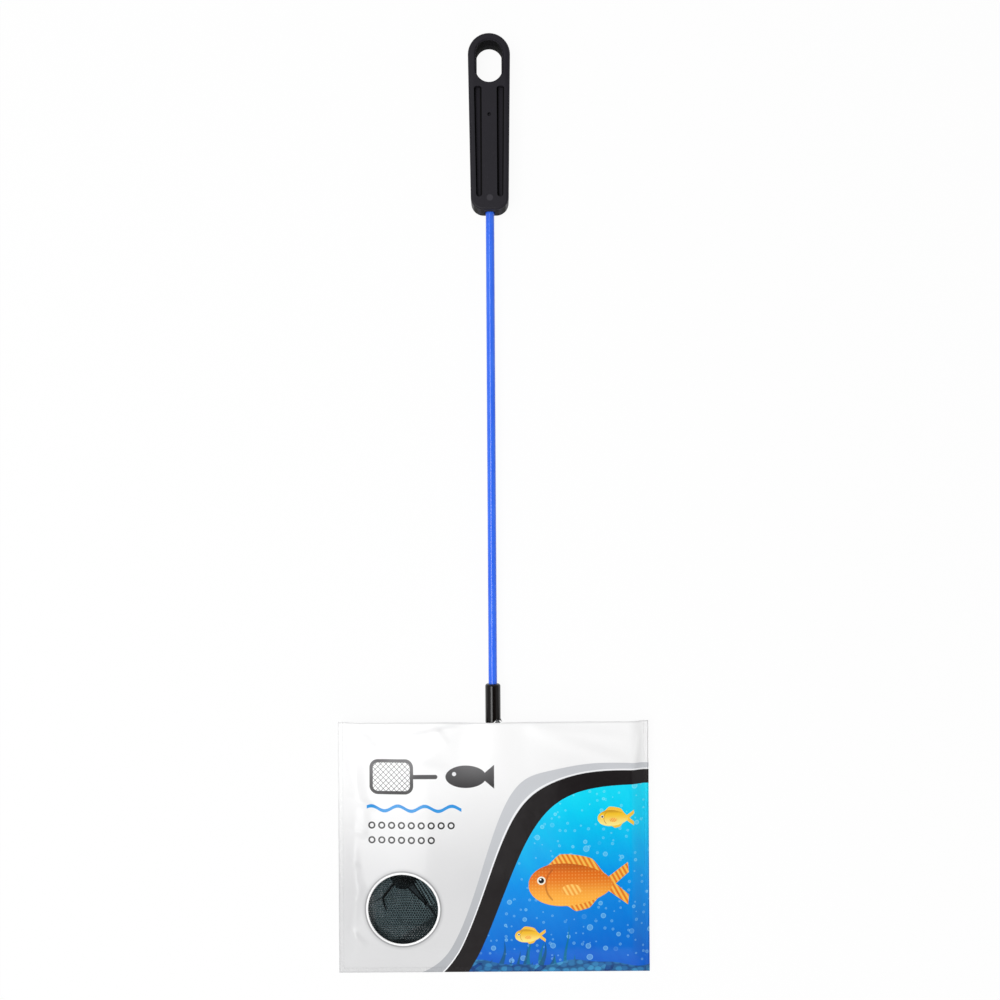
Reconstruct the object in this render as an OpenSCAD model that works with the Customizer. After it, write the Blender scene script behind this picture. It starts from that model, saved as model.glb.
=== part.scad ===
// Aquarium fish net as it is sold: a moulded grip on a coated rod, and a wire hoop with its
// netting pocket folded flat inside a film bag that slides off.
// The net lies on its back. +Y runs up the handle to the hang hole, +X is to the right as seen
// from the front, and +Z points up from the table to the printed front of the bag.
// The origin is at the middle of the whole length and width, on the table. Sizes are millimetres.

/* [Grip] */
// Length of the grip
grip_l = 78; // [72:1:110]
// Width of the grip at the hang hole
grip_w_top = 18.6; // [18:0.2:24]
// Width of the grip at the rod
grip_w_end = 16.8; // [15.8:0.2:18.6]
// Thickness of the grip, which also sets the height of the rod above the table
grip_t = 12; // [11.5:0.5:16]
// Radius of the rounding along the grip's edges
grip_edge_r = 0.9; // [0.4:0.1:1.2]
// Radius of the two corners at the rod end
grip_corner_r = 5.6; // [4:0.2:7]
// Length of the hang hole
hang_l = 17.8; // [14:0.2:20]
// Width of the hang hole
hang_w = 11; // [8:0.2:12]
// Plastic left between the hang hole and the top of the grip
hang_wall = 3.4; // [2.4:0.1:5]
// Width of the rib between the two finger grooves
rib_w = 6.6; // [6:0.1:8]
// Width of the rail outside each finger groove
rail_w = 2.4; // [1.4:0.1:3]
// Depth of the finger grooves, the same front and back
groove_d = 2.6; // [1:0.1:3]
// Gap from the hang hole to the finger grooves
groove_from_hole = 2.3; // [1.6:0.1:4]
// Gap from the finger grooves to the rod end of the grip
groove_from_end = 5.7; // [4.5:0.1:9]

/* [Rod] */
// Length of rod that shows between the grip and the collar
rod_l = 209.7; // [100:1:400]
// Outside diameter of the rod's plastic coating
rod_d = 3.8; // [3.4:0.1:4.4]
// Diameter of the rod's steel core
rod_core_d = 2.4; // [1.8:0.1:2.6]
// Length of rod held inside the grip
rod_in_grip = 42; // [20:1:44]

/* [Collar] */
// Length of the collar that covers the joint of rod and hoop
collar_l = 17.1; // [14:0.1:30]
// Thickness of the collar's wall round the wires
collar_wall = 0.5; // [0.4:0.05:0.8]
// How much the collar's open end flares out where the right-hand wire pushes it
collar_flare = 0.7; // [0.2:0.05:0.9]

/* [Hoop] */
// Width of the net across the hem
net_w = 127; // [100:1:129]
// Height of the net across the hem
net_h = 101.6; // [80:0.2:103]
// Radius of the hoop's corners, at the middle of the wire
hoop_corner_r = 12; // [8:0.5:30]
// Diameter of the hoop's steel wire
hoop_core_d = 1.6; // [1.2:0.1:1.6]
// Outside diameter of the hoop's plastic coating
hoop_coat_d = 2.4; // [2:0.1:2.8]
// Radius at which the wires bend out of the collar
hoop_bend_r = 3; // [2.6:0.1:4]
// Outside diameter of the hem round the wire
hem_d = 4.2; // [3.8:0.1:4.4]
// Width of the hem's sewn lip inside the hoop
lip_w = 2.5; // [1.5:0.5:8]
// Thickness of the hem's sewn lip
lip_t = 0.8; // [0.5:0.1:1]

/* [Netting] */
// Thickness of one layer of netting
ply_t = 0.5; // [0.3:0.05:0.55]
// Gap between the folded layers
ply_gap = 0.4; // [0.3:0.05:0.5]
// Spacing of the diamond cells
cell_pitch = 11; // [10:0.5:20]
// Width of the strands between the cells
strand_w = 1.1; // [0.6:0.1:2]
// Distance of the pocket's gathered corners from the hoop's far bar
gather_up = 30.7; // [24:0.1:40]
// Distance of the gathered corners from the hoop's side bars
gather_in = 21.6; // [17:0.1:36]
// Width of the sewn seams
seam_w = 3; // [2:0.1:4]
// Thickness of the sewn seams
seam_t = 1.1; // [0.6:0.1:1.6]
// Length of the longest pleat in a gathered corner
pleat_l = 8; // [6:0.5:9]
// Height of the gathered pleats beside their knot
pleat_h = 2.3; // [1.4:0.1:2.5]

/* [Bag] */
// Room from the hem to the bag's edge at each side
bag_side_room = 5.65; // [4.4:0.05:12]
// Room from the hem to the bag's sealed end
bag_end_room = 8.8; // [5:0.1:20]
// Thickness of the film as modelled; real film is thinner
film_t = 0.3; // [0.2:0.05:0.4]
// Width of the flat heat seal along three edges
seal_w = 2.2; // [1.5:0.1:2.4]
// Height of the bag's front above the hoop's mid-plane
bag_front_h = 4.6; // [4.5:0.1:8]
// How much shorter the back film is than the front one at the open end
bag_back_short = 2; // [0:0.1:10]
// Diameter of the clear window
window_d = 31.1; // [20:0.5:36]
// Distance of the window's middle from the bag's left edge
window_from_side = 28.85; // [24:0.05:60]
// Distance of the window's middle from the bag's sealed end
window_from_end = 29.2; // [24:0.1:60]
// How far the window's clear patch is glued behind the printed film
window_glue = 3; // [1:0.5:4]

/* [Hidden] */
$fn = 64;

// Clearance between a coating or bore and the wire it holds
wire_fit = 0.05;
// Clearance between soft pieces and what carries them
cloth_fit = 0.25;
// Clearance between the hem and the film that lies over it
bag_fit = 0.4;
// Overrun of every cut past the surface that it goes through
over = 0.12;

// Moulding details of the grip
grip_facets = 40;
groove_corner_r = 1.2;
hang_chamfer = 0.5;
hang_draft = 0.45;
gate_d = 1.7;
gate_depth = 1.4;
gate_from_top = 36;
ejector_d = 3;
ejector_depth = 0.2;
ejector_from_end = 5.4;
bore_mouth_d = 5.2;
bore_mouth_l = 1.2;

// Details of the collar and of the joint inside it
collar_shoulder_r = 1.1;
collar_grip_l = 3;
collar_notch_d = 4.2;
collar_notch_h = 1.3;
flare_l = 1.8;
rod_core_end = 2;
tail_from_coating = 1;
weld_d = 1.5;
weld_out = 0.75;
weld_place_shares = [0.3, 0.6];

// Gap in the hem where the wires bend up into the collar
hem_gap = 7;

// How far the pocket's second and third layers draw in at the sides
second_layer_inset = 3;
third_layer_inset = 9;
// Shares of the pocket's length that its second and third layers cover
second_layer_share = 0.62;
third_layer_share = 0.56;

// Where the seam starts and which way it runs, and the pleats that fan out of the gathered corner
seam_start = 4.5;
seam_angle = 47;
seam_roll_d = 1.3;
pleat_angles = [-112, -84, -56, -28, 0, 28, 56, 84, 112];
pleat_length_shares = [0.85, 0.98, 0.8, 0.9, 0.84, 1, 0.86, 0.96, 0.74];
pleat_w = 0.8;
pleat_tip_h = 1;
pleat_root = 0.3;
knot_d = 4.2;
knot_h = 2.6;

// How far past the hem's edge the film reaches the hem's height, and what it then takes to its full height
film_past_hem = 0.45;
front_crown_run = 34;
back_crown_run = 12;
mouth_run = 32;
lift_run = 16;
slope_steps = 4;
across_steps = 8;
along_steps = 10;
window_facets = 72;

// Places worked out from the sizes above
mid_z = grip_t / 2;
mouth_over_collar = 0.4;
bag_w = net_w + 2 * bag_side_room;
bag_l = mouth_over_collar + hoop_bend_r + net_h - hem_d / 2 + bag_end_room;
total_l = grip_l + rod_l + collar_l - mouth_over_collar + bag_l;
grip_top_y = total_l / 2;
grip_end_y = grip_top_y - grip_l;
collar_top_y = grip_end_y - rod_l;
collar_end_y = collar_top_y - collar_l;
bag_top_y = collar_end_y + mouth_over_collar;
bag_end_y = bag_top_y - bag_l;

hoop_x = (net_w - hem_d) / 2;
hoop_top_y = collar_end_y - hoop_bend_r;
hoop_end_y = hoop_top_y - (net_h - hem_d);
tail_x = (rod_core_d + hoop_core_d) / 2 + wire_fit;
tail_l = collar_l - collar_grip_l - tail_from_coating;
collar_bore_d = 2 * tail_x + hoop_core_d + 2 * wire_fit;
collar_d = collar_bore_d + 2 * collar_wall;

hang_r = hang_w / 2;
hang_upper_y = grip_top_y - hang_wall - hang_r;
hang_lower_y = grip_top_y - hang_wall - hang_l + hang_r;

lip_z = mid_z - lip_t - cloth_fit;
ply_step = ply_t + ply_gap;
first_ply_z = lip_z - cloth_fit - ply_t;
second_ply_z = first_ply_z - ply_step;
third_ply_z = second_ply_z - ply_step;
on_ply_z = first_ply_z + ply_t + cloth_fit;
front_mouth_h = hem_d / 2 + bag_fit;
collar_lift = (collar_d + collar_flare) / 2 + bag_fit - front_mouth_h;
back_mouth_h = mid_z - third_ply_z + cloth_fit + wire_fit;
gather_x = hoop_x - gather_in;
gather_y = hoop_end_y + gather_up;
seam_l = (gather_up - hem_d / 2 - lip_w - cloth_fit) / sin(seam_angle) - seam_start - seam_w / 2;

window_x = window_from_side - bag_w / 2;
window_y = bag_end_y + window_from_end;
film_slope_w = bag_side_room - seal_w + film_past_hem;

// A value that climbs smoothly from 0 to 1 as t does
function smooth(t) = let (c = max(0, min(1, t))) c * c * (3 - 2 * c);

// Half the grip's width at a distance from its top, between its round end and its corners
function grip_half_w(from_top) =
    let (start = grip_w_top / 2, end = grip_l - grip_corner_r)
    let (share = max(0, min(1, (from_top - start) / (end - start))))
    grip_w_top / 2 + share * (grip_w_end - grip_w_top) / 2;

// Discs of one corner of the grip, stepped so that their hull has round edges
module grip_corner(x, y, r) {
    for (a = [0 : 30 : 90])
        translate([x, y, grip_edge_r * (1 - sin(a))])
            cylinder(r = r - grip_edge_r * (1 - cos(a)), h = grip_t - 2 * grip_edge_r * (1 - sin(a)),
                     $fn = grip_facets);
}

module grip_block() {
    end_x = grip_w_end / 2 - grip_corner_r;
    hull() {
        grip_corner(0, grip_top_y - grip_w_top / 2, grip_w_top / 2);
        grip_corner(end_x, grip_end_y + grip_corner_r, grip_corner_r);
        grip_corner(-end_x, grip_end_y + grip_corner_r, grip_corner_r);
    }
}

// Outline of one finger groove, square with round corners at the hole end and fully round at the rod end
module groove_outline() {
    top_in = hang_wall + hang_l + groove_from_hole;
    top_y = grip_top_y - top_in;
    in_x = rib_w / 2;
    top_x = grip_half_w(top_in) - rail_w;
    end_x = grip_half_w(grip_l - groove_from_end) - rail_w;
    end_r = (end_x - in_x) / 2;
    end_y = grip_end_y + groove_from_end + end_r;
    corner_r = min(groove_corner_r, (top_x - in_x) / 3);
    polygon([
        [in_x, top_y - corner_r], [in_x + corner_r, top_y], [top_x - corner_r, top_y], [top_x, top_y - corner_r],
        [end_x, end_y], [in_x, end_y]
    ]);
    translate([in_x + corner_r, top_y - corner_r]) circle(corner_r);
    translate([top_x - corner_r, top_y - corner_r]) circle(corner_r);
    translate([in_x + end_r, end_y]) circle(end_r);
}

// A taper into the hang hole from the back face, wide there and narrow at a depth: two cones and a wedge
module hang_taper(wide, narrow, depth) {
    spread = over * (wide - narrow) / depth;
    for (y = [hang_upper_y, hang_lower_y])
        translate([0, y, -over]) cylinder(r1 = wide + spread, r2 = narrow - spread, h = depth + 2 * over);
    translate([0, hang_upper_y, -over]) rotate([90, 0, 0]) linear_extrude(hang_upper_y - hang_lower_y)
        polygon([
            [-wide - spread, 0], [wide + spread, 0],
            [narrow - spread, depth + 2 * over], [-narrow + spread, depth + 2 * over]
        ]);
}

module grip() {
    color("#2b292e") difference() {
        grip_block();
        for (face = [0, 1]) translate([0, 0, face * grip_t]) mirror([0, 0, face]) {
            hang_taper(hang_r + hang_draft, hang_r, mid_z);
            hang_taper(hang_r + hang_draft + hang_chamfer, hang_r + hang_draft, hang_chamfer);
        }
        for (side = [0, 1], z = [-over, grip_t - groove_d])
            mirror([side, 0, 0]) translate([0, 0, z]) linear_extrude(groove_d + over) groove_outline();
        translate([0, grip_end_y + rod_in_grip, mid_z]) rotate([90, 0, 0])
            cylinder(d = rod_d + 2 * wire_fit, h = rod_in_grip + over);
        translate([0, grip_end_y + bore_mouth_l, mid_z]) rotate([90, 0, 0])
            cylinder(d = bore_mouth_d, h = bore_mouth_l + over);
        translate([0, grip_top_y - gate_from_top, grip_t - gate_depth])
            cylinder(d = gate_d, h = gate_depth + over);
        translate([0, grip_end_y + ejector_from_end, grip_t - ejector_depth])
            cylinder(d = ejector_d, h = ejector_depth + over);
    }
}

// A round bar along Y at the mid-plane, from one end down to the other
module bar_y(x, from_y, to_y, d) {
    translate([x, from_y, mid_z]) rotate([90, 0, 0]) cylinder(d = d, h = from_y - to_y);
}

module rod_core() {
    color("#b9bcc0")
        bar_y(0, grip_end_y + rod_in_grip - wire_fit, collar_end_y + rod_core_end, rod_core_d);
}

module rod_coating() {
    top_y = grip_end_y + rod_in_grip - wire_fit;
    end_y = collar_top_y - collar_grip_l;
    color("#3f6ff2") difference() {
        bar_y(0, top_y, end_y, rod_d);
        bar_y(0, top_y + over, end_y - over, rod_core_d + 2 * wire_fit);
    }
}

// Outside of the collar, turned about its own axis: x is the radius and y the distance from its open end
module collar_profile() {
    r = collar_d / 2;
    polygon([
        [0, 0], [r, 0], [r, collar_l - collar_shoulder_r], [r - collar_shoulder_r, collar_l], [0, collar_l]
    ]);
    translate([r - collar_shoulder_r, collar_l - collar_shoulder_r]) intersection() {
        circle(collar_shoulder_r);
        square(collar_shoulder_r);
    }
}

module collar() {
    color("#1d1b1c") difference() {
        union() {
            translate([0, collar_end_y, mid_z]) rotate([-90, 0, 0]) rotate_extrude() collar_profile();
            translate([collar_flare / 2, collar_end_y, mid_z]) rotate([-90, 0, 0])
                cylinder(d1 = collar_d + collar_flare - over, d2 = collar_d - collar_flare - over, h = flare_l);
        }
        bar_y(0, collar_top_y + over, collar_end_y - over, rod_d + 2 * wire_fit);
        bar_y(0, collar_top_y - collar_grip_l - wire_fit, collar_end_y - over, collar_bore_d);
        translate([tail_x, collar_end_y + collar_notch_h - collar_notch_d / 2, mid_z - collar_d])
            cylinder(d = collar_notch_d, h = 2 * collar_d);
    }
}

// Beads of weld in the valleys between the rod's core and the hoop wire's two tails
module spot_welds() {
    color("#8d9094") difference() {
        for (side = [-1, 1], face = [-1, 1], share = weld_place_shares)
            translate([side * rod_core_d / 2, collar_end_y + share * collar_l, mid_z + face * weld_out])
                sphere(d = weld_d);
        bar_y(0, collar_top_y, collar_end_y, rod_core_d + 2 * wire_fit);
        for (side = [-1, 1])
            bar_y(side * tail_x, collar_top_y, collar_end_y, hoop_core_d + 2 * wire_fit);
    }
}

// A quarter of a ring in the mid-plane, about a centre, from a start angle
module elbow(x, y, bend_r, start, d) {
    translate([x, y, mid_z]) rotate([0, 0, start])
        rotate_extrude(angle = 90) translate([bend_r, 0]) circle(d = d);
}

// A round bar across the hoop in the mid-plane
module bar_x(from_x, to_x, y, d) {
    translate([from_x, y, mid_z]) rotate([0, 90, 0]) cylinder(d = d, h = to_x - from_x);
}

// The right half of the hoop from a place on its top bar round to the middle of its far bar
module half_hoop(from_x, d) {
    corner_x = hoop_x - hoop_corner_r;
    bar_x(from_x, corner_x, hoop_top_y, d);
    elbow(corner_x, hoop_top_y - hoop_corner_r, hoop_corner_r, 0, d);
    bar_y(hoop_x, hoop_top_y - hoop_corner_r, hoop_end_y + hoop_corner_r, d);
    elbow(corner_x, hoop_end_y + hoop_corner_r, hoop_corner_r, 270, d);
    bar_x(0, corner_x, hoop_end_y, d);
}

// The bent wire, with a tail up into the collar at each side
module hoop_sweep(d, tail) {
    for (side = [0, 1]) mirror([side, 0, 0]) {
        bar_y(tail_x, collar_end_y + tail, collar_end_y, d);
        elbow(tail_x + hoop_bend_r, collar_end_y, hoop_bend_r, 180, d);
        half_hoop(tail_x + hoop_bend_r, d);
    }
}

module hoop_wire() {
    color("#b9bcc0") hoop_sweep(hoop_core_d, tail_l);
}

module hoop_coating() {
    color("#23252a") difference() {
        for (side = [0, 1]) mirror([side, 0, 0]) {
            elbow(tail_x + hoop_bend_r, collar_end_y, hoop_bend_r, 180, hoop_coat_d);
            half_hoop(tail_x + hoop_bend_r, hoop_coat_d);
        }
        hoop_sweep(hoop_core_d + 2 * wire_fit, over);
    }
}

// A rectangle with round corners that follows the middle of the hoop wire, drawn in by a distance
module hoop_outline(inset) {
    r = hoop_corner_r - inset;
    corner_x = hoop_x - hoop_corner_r;
    low = hoop_end_y + hoop_corner_r;
    high = hoop_top_y - hoop_corner_r;
    for (x = [-corner_x, corner_x], y = [low, high]) translate([x, y]) circle(max(r, over));
    translate([-corner_x, low - r]) square([2 * corner_x, high - low + 2 * r]);
    translate([-corner_x - r, low]) square([2 * corner_x + 2 * r, high - low]);
}

// The hem: a tube of folded tape round the hoop, with the lip where it is sewn to the netting
module hem() {
    color("#17181a") difference() {
        union() {
            for (side = [0, 1]) mirror([side, 0, 0]) half_hoop(hem_gap, hem_d);
            translate([0, 0, lip_z]) linear_extrude(lip_t) difference() {
                hoop_outline(hem_d / 4);
                hoop_outline(hem_d / 2 + lip_w);
                translate([-hem_gap, hoop_top_y - hem_d / 2 - lip_w - over])
                    square([2 * hem_gap, hem_d + lip_w + 2 * over]);
            }
        }
        hoop_sweep(hoop_coat_d + 2 * wire_fit, over);
    }
}

// Diamond cells through one layer of netting, in rows that fit between two places along the net
module cells(low_y, high_y, z, shift, inset) {
    half_w = hoop_x - hem_d / 2 - lip_w - inset;
    reach = (cell_pitch - strand_w * sqrt(2)) / 2;
    row = cell_pitch / 2;
    rows = floor((high_y - low_y - 2 * reach) / row);
    start_y = (low_y + high_y - rows * row) / 2;
    for (j = [0 : rows]) {
        offset_x = (j + shift) % 2 == 0 ? 0 : cell_pitch / 2;
        count = floor((half_w - reach - offset_x) / cell_pitch);
        for (i = [(offset_x == 0 ? -count : -count - 1) : count])
            translate([i * cell_pitch + offset_x, start_y + j * row, z - over]) linear_extrude(ply_t + 2 * over)
                polygon([[-reach, 0], [0, -reach], [reach, 0], [0, reach]]);
    }
}

// Half a ring in the plane of the fold, open towards +1 or -1
module fold_turn(y, z, open) {
    r_in = ply_gap / 2;
    r_out = r_in + ply_t;
    translate([y, z]) intersection() {
        difference() {
            circle(r_out);
            circle(r_in);
        }
        translate([open > 0 ? -r_out : 0, -r_out]) square([r_out, 2 * r_out]);
    }
}

// One flat layer of netting between two places along the net, cut to the hoop's outline
module layer(low_y, high_y, z, inset) {
    edge = hem_d / 2 + cloth_fit;
    half_w = hoop_x - edge - inset;
    translate([0, 0, z]) linear_extrude(ply_t) intersection() {
        hoop_outline(edge);
        translate([-half_w, low_y]) square([2 * half_w, high_y - low_y]);
    }
}

// The fold that joins two layers, as wide as the narrower one there
module fold(y, z, open, half_w) {
    translate([-half_w, 0, 0]) rotate([90, 0, 90]) linear_extrude(2 * half_w) fold_turn(y, z, open);
}

// The pocket: one piece of netting sewn into the hem and folded flat in three layers, like a Z
module pocket_netting() {
    edge = hem_d / 2 + cloth_fit;
    turn_r = ply_gap / 2 + ply_t;
    high = hoop_top_y - edge;
    low = hoop_end_y + edge + turn_r;
    second_high = low + second_layer_share * (high - low);
    third_low = second_high - third_layer_share * (high - low);
    color("#3b4548") difference() {
        union() {
            layer(low, high, first_ply_z, 0);
            layer(low, second_high, second_ply_z, second_layer_inset);
            layer(third_low, second_high, third_ply_z, third_layer_inset);
            fold(low, first_ply_z - ply_gap / 2, 1, hoop_x - hoop_corner_r);
            fold(second_high, second_ply_z - ply_gap / 2, -1, hoop_x - edge - third_layer_inset);
        }
        cells(low + lip_w, high - lip_w, first_ply_z, 0, 0);
        cells(low + turn_r, second_high - turn_r, second_ply_z, 1, second_layer_inset);
        cells(third_low + turn_r, second_high - turn_r, third_ply_z, 0, third_layer_inset);
    }
}

// One sewn seam of the pocket, from its gathered corner towards the far bar, with its rolled edge
module seam() {
    translate([gather_x, gather_y, on_ply_z]) rotate([0, 0, seam_angle - 180]) translate([seam_start, 0, 0]) {
        linear_extrude(seam_t) {
            translate([0, -seam_w / 2]) square([seam_l, seam_w]);
            translate([seam_l, 0]) circle(d = seam_w);
        }
        translate([0, seam_w / 2 - seam_roll_d / 2, seam_t]) rotate([0, 90, 0])
            cylinder(d = seam_roll_d, h = seam_l);
    }
}

// One gathered corner of the pocket: pleats that stand on edge and fan out from a knot
module gather() {
    root = knot_d / 2 - pleat_root;
    translate([gather_x, gather_y, on_ply_z]) rotate([0, 0, seam_angle]) {
        cylinder(d = knot_d, h = knot_h);
        for (i = [0 : len(pleat_angles) - 1])
            rotate([90, 0, pleat_angles[i]]) translate([0, 0, -pleat_w / 2]) linear_extrude(pleat_w)
                polygon([
                    [root, 0], [pleat_l * pleat_length_shares[i], 0],
                    [pleat_l * pleat_length_shares[i], pleat_tip_h], [root, pleat_h]
                ]);
    }
}

module mirrored(side) {
    mirror([side, 0, 0]) children();
}

module seam_right() {
    color("#14161a") seam();
}

module seam_left() {
    color("#14161a") mirrored(1) seam();
}

module gather_right() {
    color("#1b2022") gather();
}

module gather_left() {
    color("#1b2022") mirrored(1) gather();
}

// Height of the film's inner face above or below the mid-plane, at distances in from its side, its
// sealed end and its mouth. It lies flat on the seal, climbs over the hem and then swells to its
// full height, and draws in again to the mouth, which just lets the hoop pass. At the mouth it is
// lifted in the middle, where it lies over the collar.
function film_height(dx, dy, dm, full, mouth, lift, run) =
    let (over_hem = hem_d / 2 + bag_fit)
    let (slope_end = seal_w + film_slope_w)
    let (lifted = mouth + lift * (1 - smooth((bag_w / 2 - dx) / lift_run)))
    let (swell = lifted + (full - lifted) * smooth(dm / mouth_run) - over_hem)
    over_hem * smooth((dx - seal_w) / film_slope_w) * smooth((dy - seal_w) / film_slope_w)
    + swell * smooth((dx - slope_end) / run) * smooth((dy - slope_end) / run);

// Distances in from an edge at which the film's grid has lines: seal, slope, then even steps to the far line
function film_stations(far, steps) =
    let (slope_end = seal_w + film_slope_w)
    concat(
        [0, seal_w],
        [for (k = [1 : slope_steps]) seal_w + film_slope_w * k / slope_steps],
        [for (k = [1 : steps]) slope_end + (far - slope_end) * k / steps]
    );

// One wall of the bag as a closed solid: face is 1 for the front and -1 for the back.
// film_l is its length, full and mouth are its heights in the middle and at the open end, lift is
// how much higher the mouth is over the collar, and inner and outer are the distances of its two
// skins from the film's inner face.
module film(face, film_l, full, mouth, lift, run, inner, outer) {
    across = film_stations(bag_w / 2, across_steps);
    up = film_stations(film_l, along_steps);
    half = len(across);
    cols = 2 * half - 1;
    rows = len(up);
    xs = [for (i = [0 : cols - 1]) i < half ? across[i] - bag_w / 2 : bag_w / 2 - across[cols - 1 - i]];
    skins = [inner, outer];
    points = [
        for (s = [0, 1], j = [0 : rows - 1], i = [0 : cols - 1])
            let (h = film_height(bag_w / 2 - abs(xs[i]), up[j], film_l - up[j], full, mouth, lift, run))
            [xs[i], bag_end_y + up[j], mid_z + face * (h + skins[s])]
    ];
    layer = rows * cols;
    sheets = [
        for (j = [0 : rows - 2], i = [0 : cols - 2])
            let (a = j * cols + i, b = a + 1, c = a + cols, d = c + 1)
            each [[a, b, d], [a, d, c], [layer + a, layer + d, layer + b], [layer + a, layer + c, layer + d]]
    ];
    rim = concat(
        [for (i = [0 : cols - 2]) i],
        [for (j = [0 : rows - 2]) j * cols + cols - 1],
        [for (i = [cols - 1 : -1 : 1]) (rows - 1) * cols + i],
        [for (j = [rows - 1 : -1 : 1]) j * cols]
    );
    edges = [
        for (k = [0 : len(rim) - 1])
            let (a = rim[k], b = rim[(k + 1) % len(rim)])
            each [[a, layer + b, b], [a, layer + a, layer + b]]
    ];
    faces = concat(sheets, edges);
    polyhedron(points, face > 0 ? faces : [for (f = faces) [f[0], f[2], f[1]]]);
}

module window_cut(d) {
    translate([window_x, window_y, mid_z]) cylinder(d = d, h = 2 * bag_front_h, $fn = window_facets);
}

module bag_front() {
    color("#eef0f2") difference() {
        film(1, bag_l, bag_front_h, front_mouth_h, collar_lift, front_crown_run, 0, film_t);
        window_cut(window_d);
    }
}

module bag_window() {
    color("#dfe8ee", 0.35) intersection() {
        film(1, bag_l, bag_front_h, front_mouth_h, collar_lift, front_crown_run, -film_t, 0);
        window_cut(window_d + 2 * window_glue);
    }
}

module bag_back() {
    color("#e6e9ec")
        film(-1, bag_l - bag_back_short, mid_z - film_t, back_mouth_h, 0, back_crown_run, 0, film_t);
}

grip();
rod_core();
rod_coating();
collar();
spot_welds();
hoop_wire();
hoop_coating();
hem();
pocket_netting();
seam_left();
seam_right();
gather_left();
gather_right();
bag_front();
bag_window();
bag_back();
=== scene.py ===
# %% [markdown]
# # An aquarium fish net in its bag
# A small dip net: a black moulded grip, a steel rod dipped in blue vinyl, a wire hoop with a pocket
# of fine netting, and the flat film bag that the net is sold in. The rigid pieces come from the
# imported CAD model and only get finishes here. Everything soft (netting, tape, thread, film) is
# rebuilt in detail, inside the space that its plain CAD solid holds.

# %% Load the frame
import math
import bpy
import numpy as np
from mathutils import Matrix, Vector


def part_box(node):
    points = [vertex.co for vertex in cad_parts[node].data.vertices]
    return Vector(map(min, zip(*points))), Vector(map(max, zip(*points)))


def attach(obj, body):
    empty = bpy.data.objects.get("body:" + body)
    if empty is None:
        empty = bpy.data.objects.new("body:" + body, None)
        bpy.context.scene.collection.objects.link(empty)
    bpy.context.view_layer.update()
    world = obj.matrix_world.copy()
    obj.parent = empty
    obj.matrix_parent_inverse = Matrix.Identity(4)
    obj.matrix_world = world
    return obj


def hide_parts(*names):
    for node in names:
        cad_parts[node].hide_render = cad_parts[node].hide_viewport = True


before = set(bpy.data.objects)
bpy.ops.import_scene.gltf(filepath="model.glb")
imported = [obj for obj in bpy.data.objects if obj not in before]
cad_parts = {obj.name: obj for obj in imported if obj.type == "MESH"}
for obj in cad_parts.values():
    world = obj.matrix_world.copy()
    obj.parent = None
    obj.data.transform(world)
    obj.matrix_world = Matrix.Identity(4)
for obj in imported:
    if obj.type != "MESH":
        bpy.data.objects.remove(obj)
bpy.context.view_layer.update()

# %% [markdown]
# ## Sizes
# Most sizes are read from the CAD nodes' own boxes, so that this script follows the CAD. The value
# mm turns millimetres into metres, which is what Blender works in here. The few sizes that no box
# gives, such as the bend of the hoop's corners, are written once.

# %% Sizes
mm = 0.001


def box(node):
    low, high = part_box(node)
    return np.array(low), np.array(high)


hem_low, hem_high = box("hem")
front_low, front_high = box("bag_front")
window_low, window_high = box("bag_window")
back_high = box("bag_back")[1]
netting_high = box("pocket_netting")[1]

# The height at which the two films touch, which is also the height of the hoop's middle line
MID_Z = float(back_high[2])

# The hem, a tube of tape on the hoop with a flat lip inside it and a gap at the collar
HEM_R = float(hem_high[2] - hem_low[2]) / 2
HOOP_X = float(hem_high[0]) - HEM_R
HOOP_TOP = float(hem_high[1]) - HEM_R
HOOP_END = float(hem_low[1]) + HEM_R
HOOP_CORNER = 12 * mm
HEM_GAP = 7 * mm
TUBE_R = 2.0 * mm
LIP_W = 1.0 * mm

# The first layer of the folded netting, and the step down to the next
PLY_Z = float(netting_high[2]) - 0.25 * mm
PLY_STEP = 0.9 * mm

# The bag, its heat seal, the flat film past the seal and the slopes that climb over the hem
BAG_X = float(front_high[0])
BAG_END = float(front_low[1])
BAG_TOP = float(front_high[1])
SEAL_W = 2.2 * mm
FLAT_W = 1.4 * mm
SIDE_RISE = 6.8 * mm
END_RISE = 10.2 * mm

# The round window, the gathered corner that it shows, and the seam that leaves that corner
WINDOW = (window_low[:2] + window_high[:2]) / 2
WINDOW_R = 15.55 * mm
GATHER = np.array([39.8 * mm, HOOP_END + 30.7 * mm])
SEAM_ANGLE = math.radians(50.5)
print("hoop's middle line in mm:", round(HOOP_X / mm, 2), round(HOOP_TOP / mm, 2), round(HOOP_END / mm, 2))
print("window's middle in mm:", np.round(WINDOW / mm, 2))

# %% [markdown]
# ## Node maths as Python
# A material or a Geometry Nodes tree is a graph of small nodes. Written out one by one they are
# hard to read, so one small class wraps a socket and lets + - * / build the Math nodes. Any other
# node comes from a single method, add, that sets the node's settings first and its sockets after.

# %% Sockets that do sums


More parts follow.
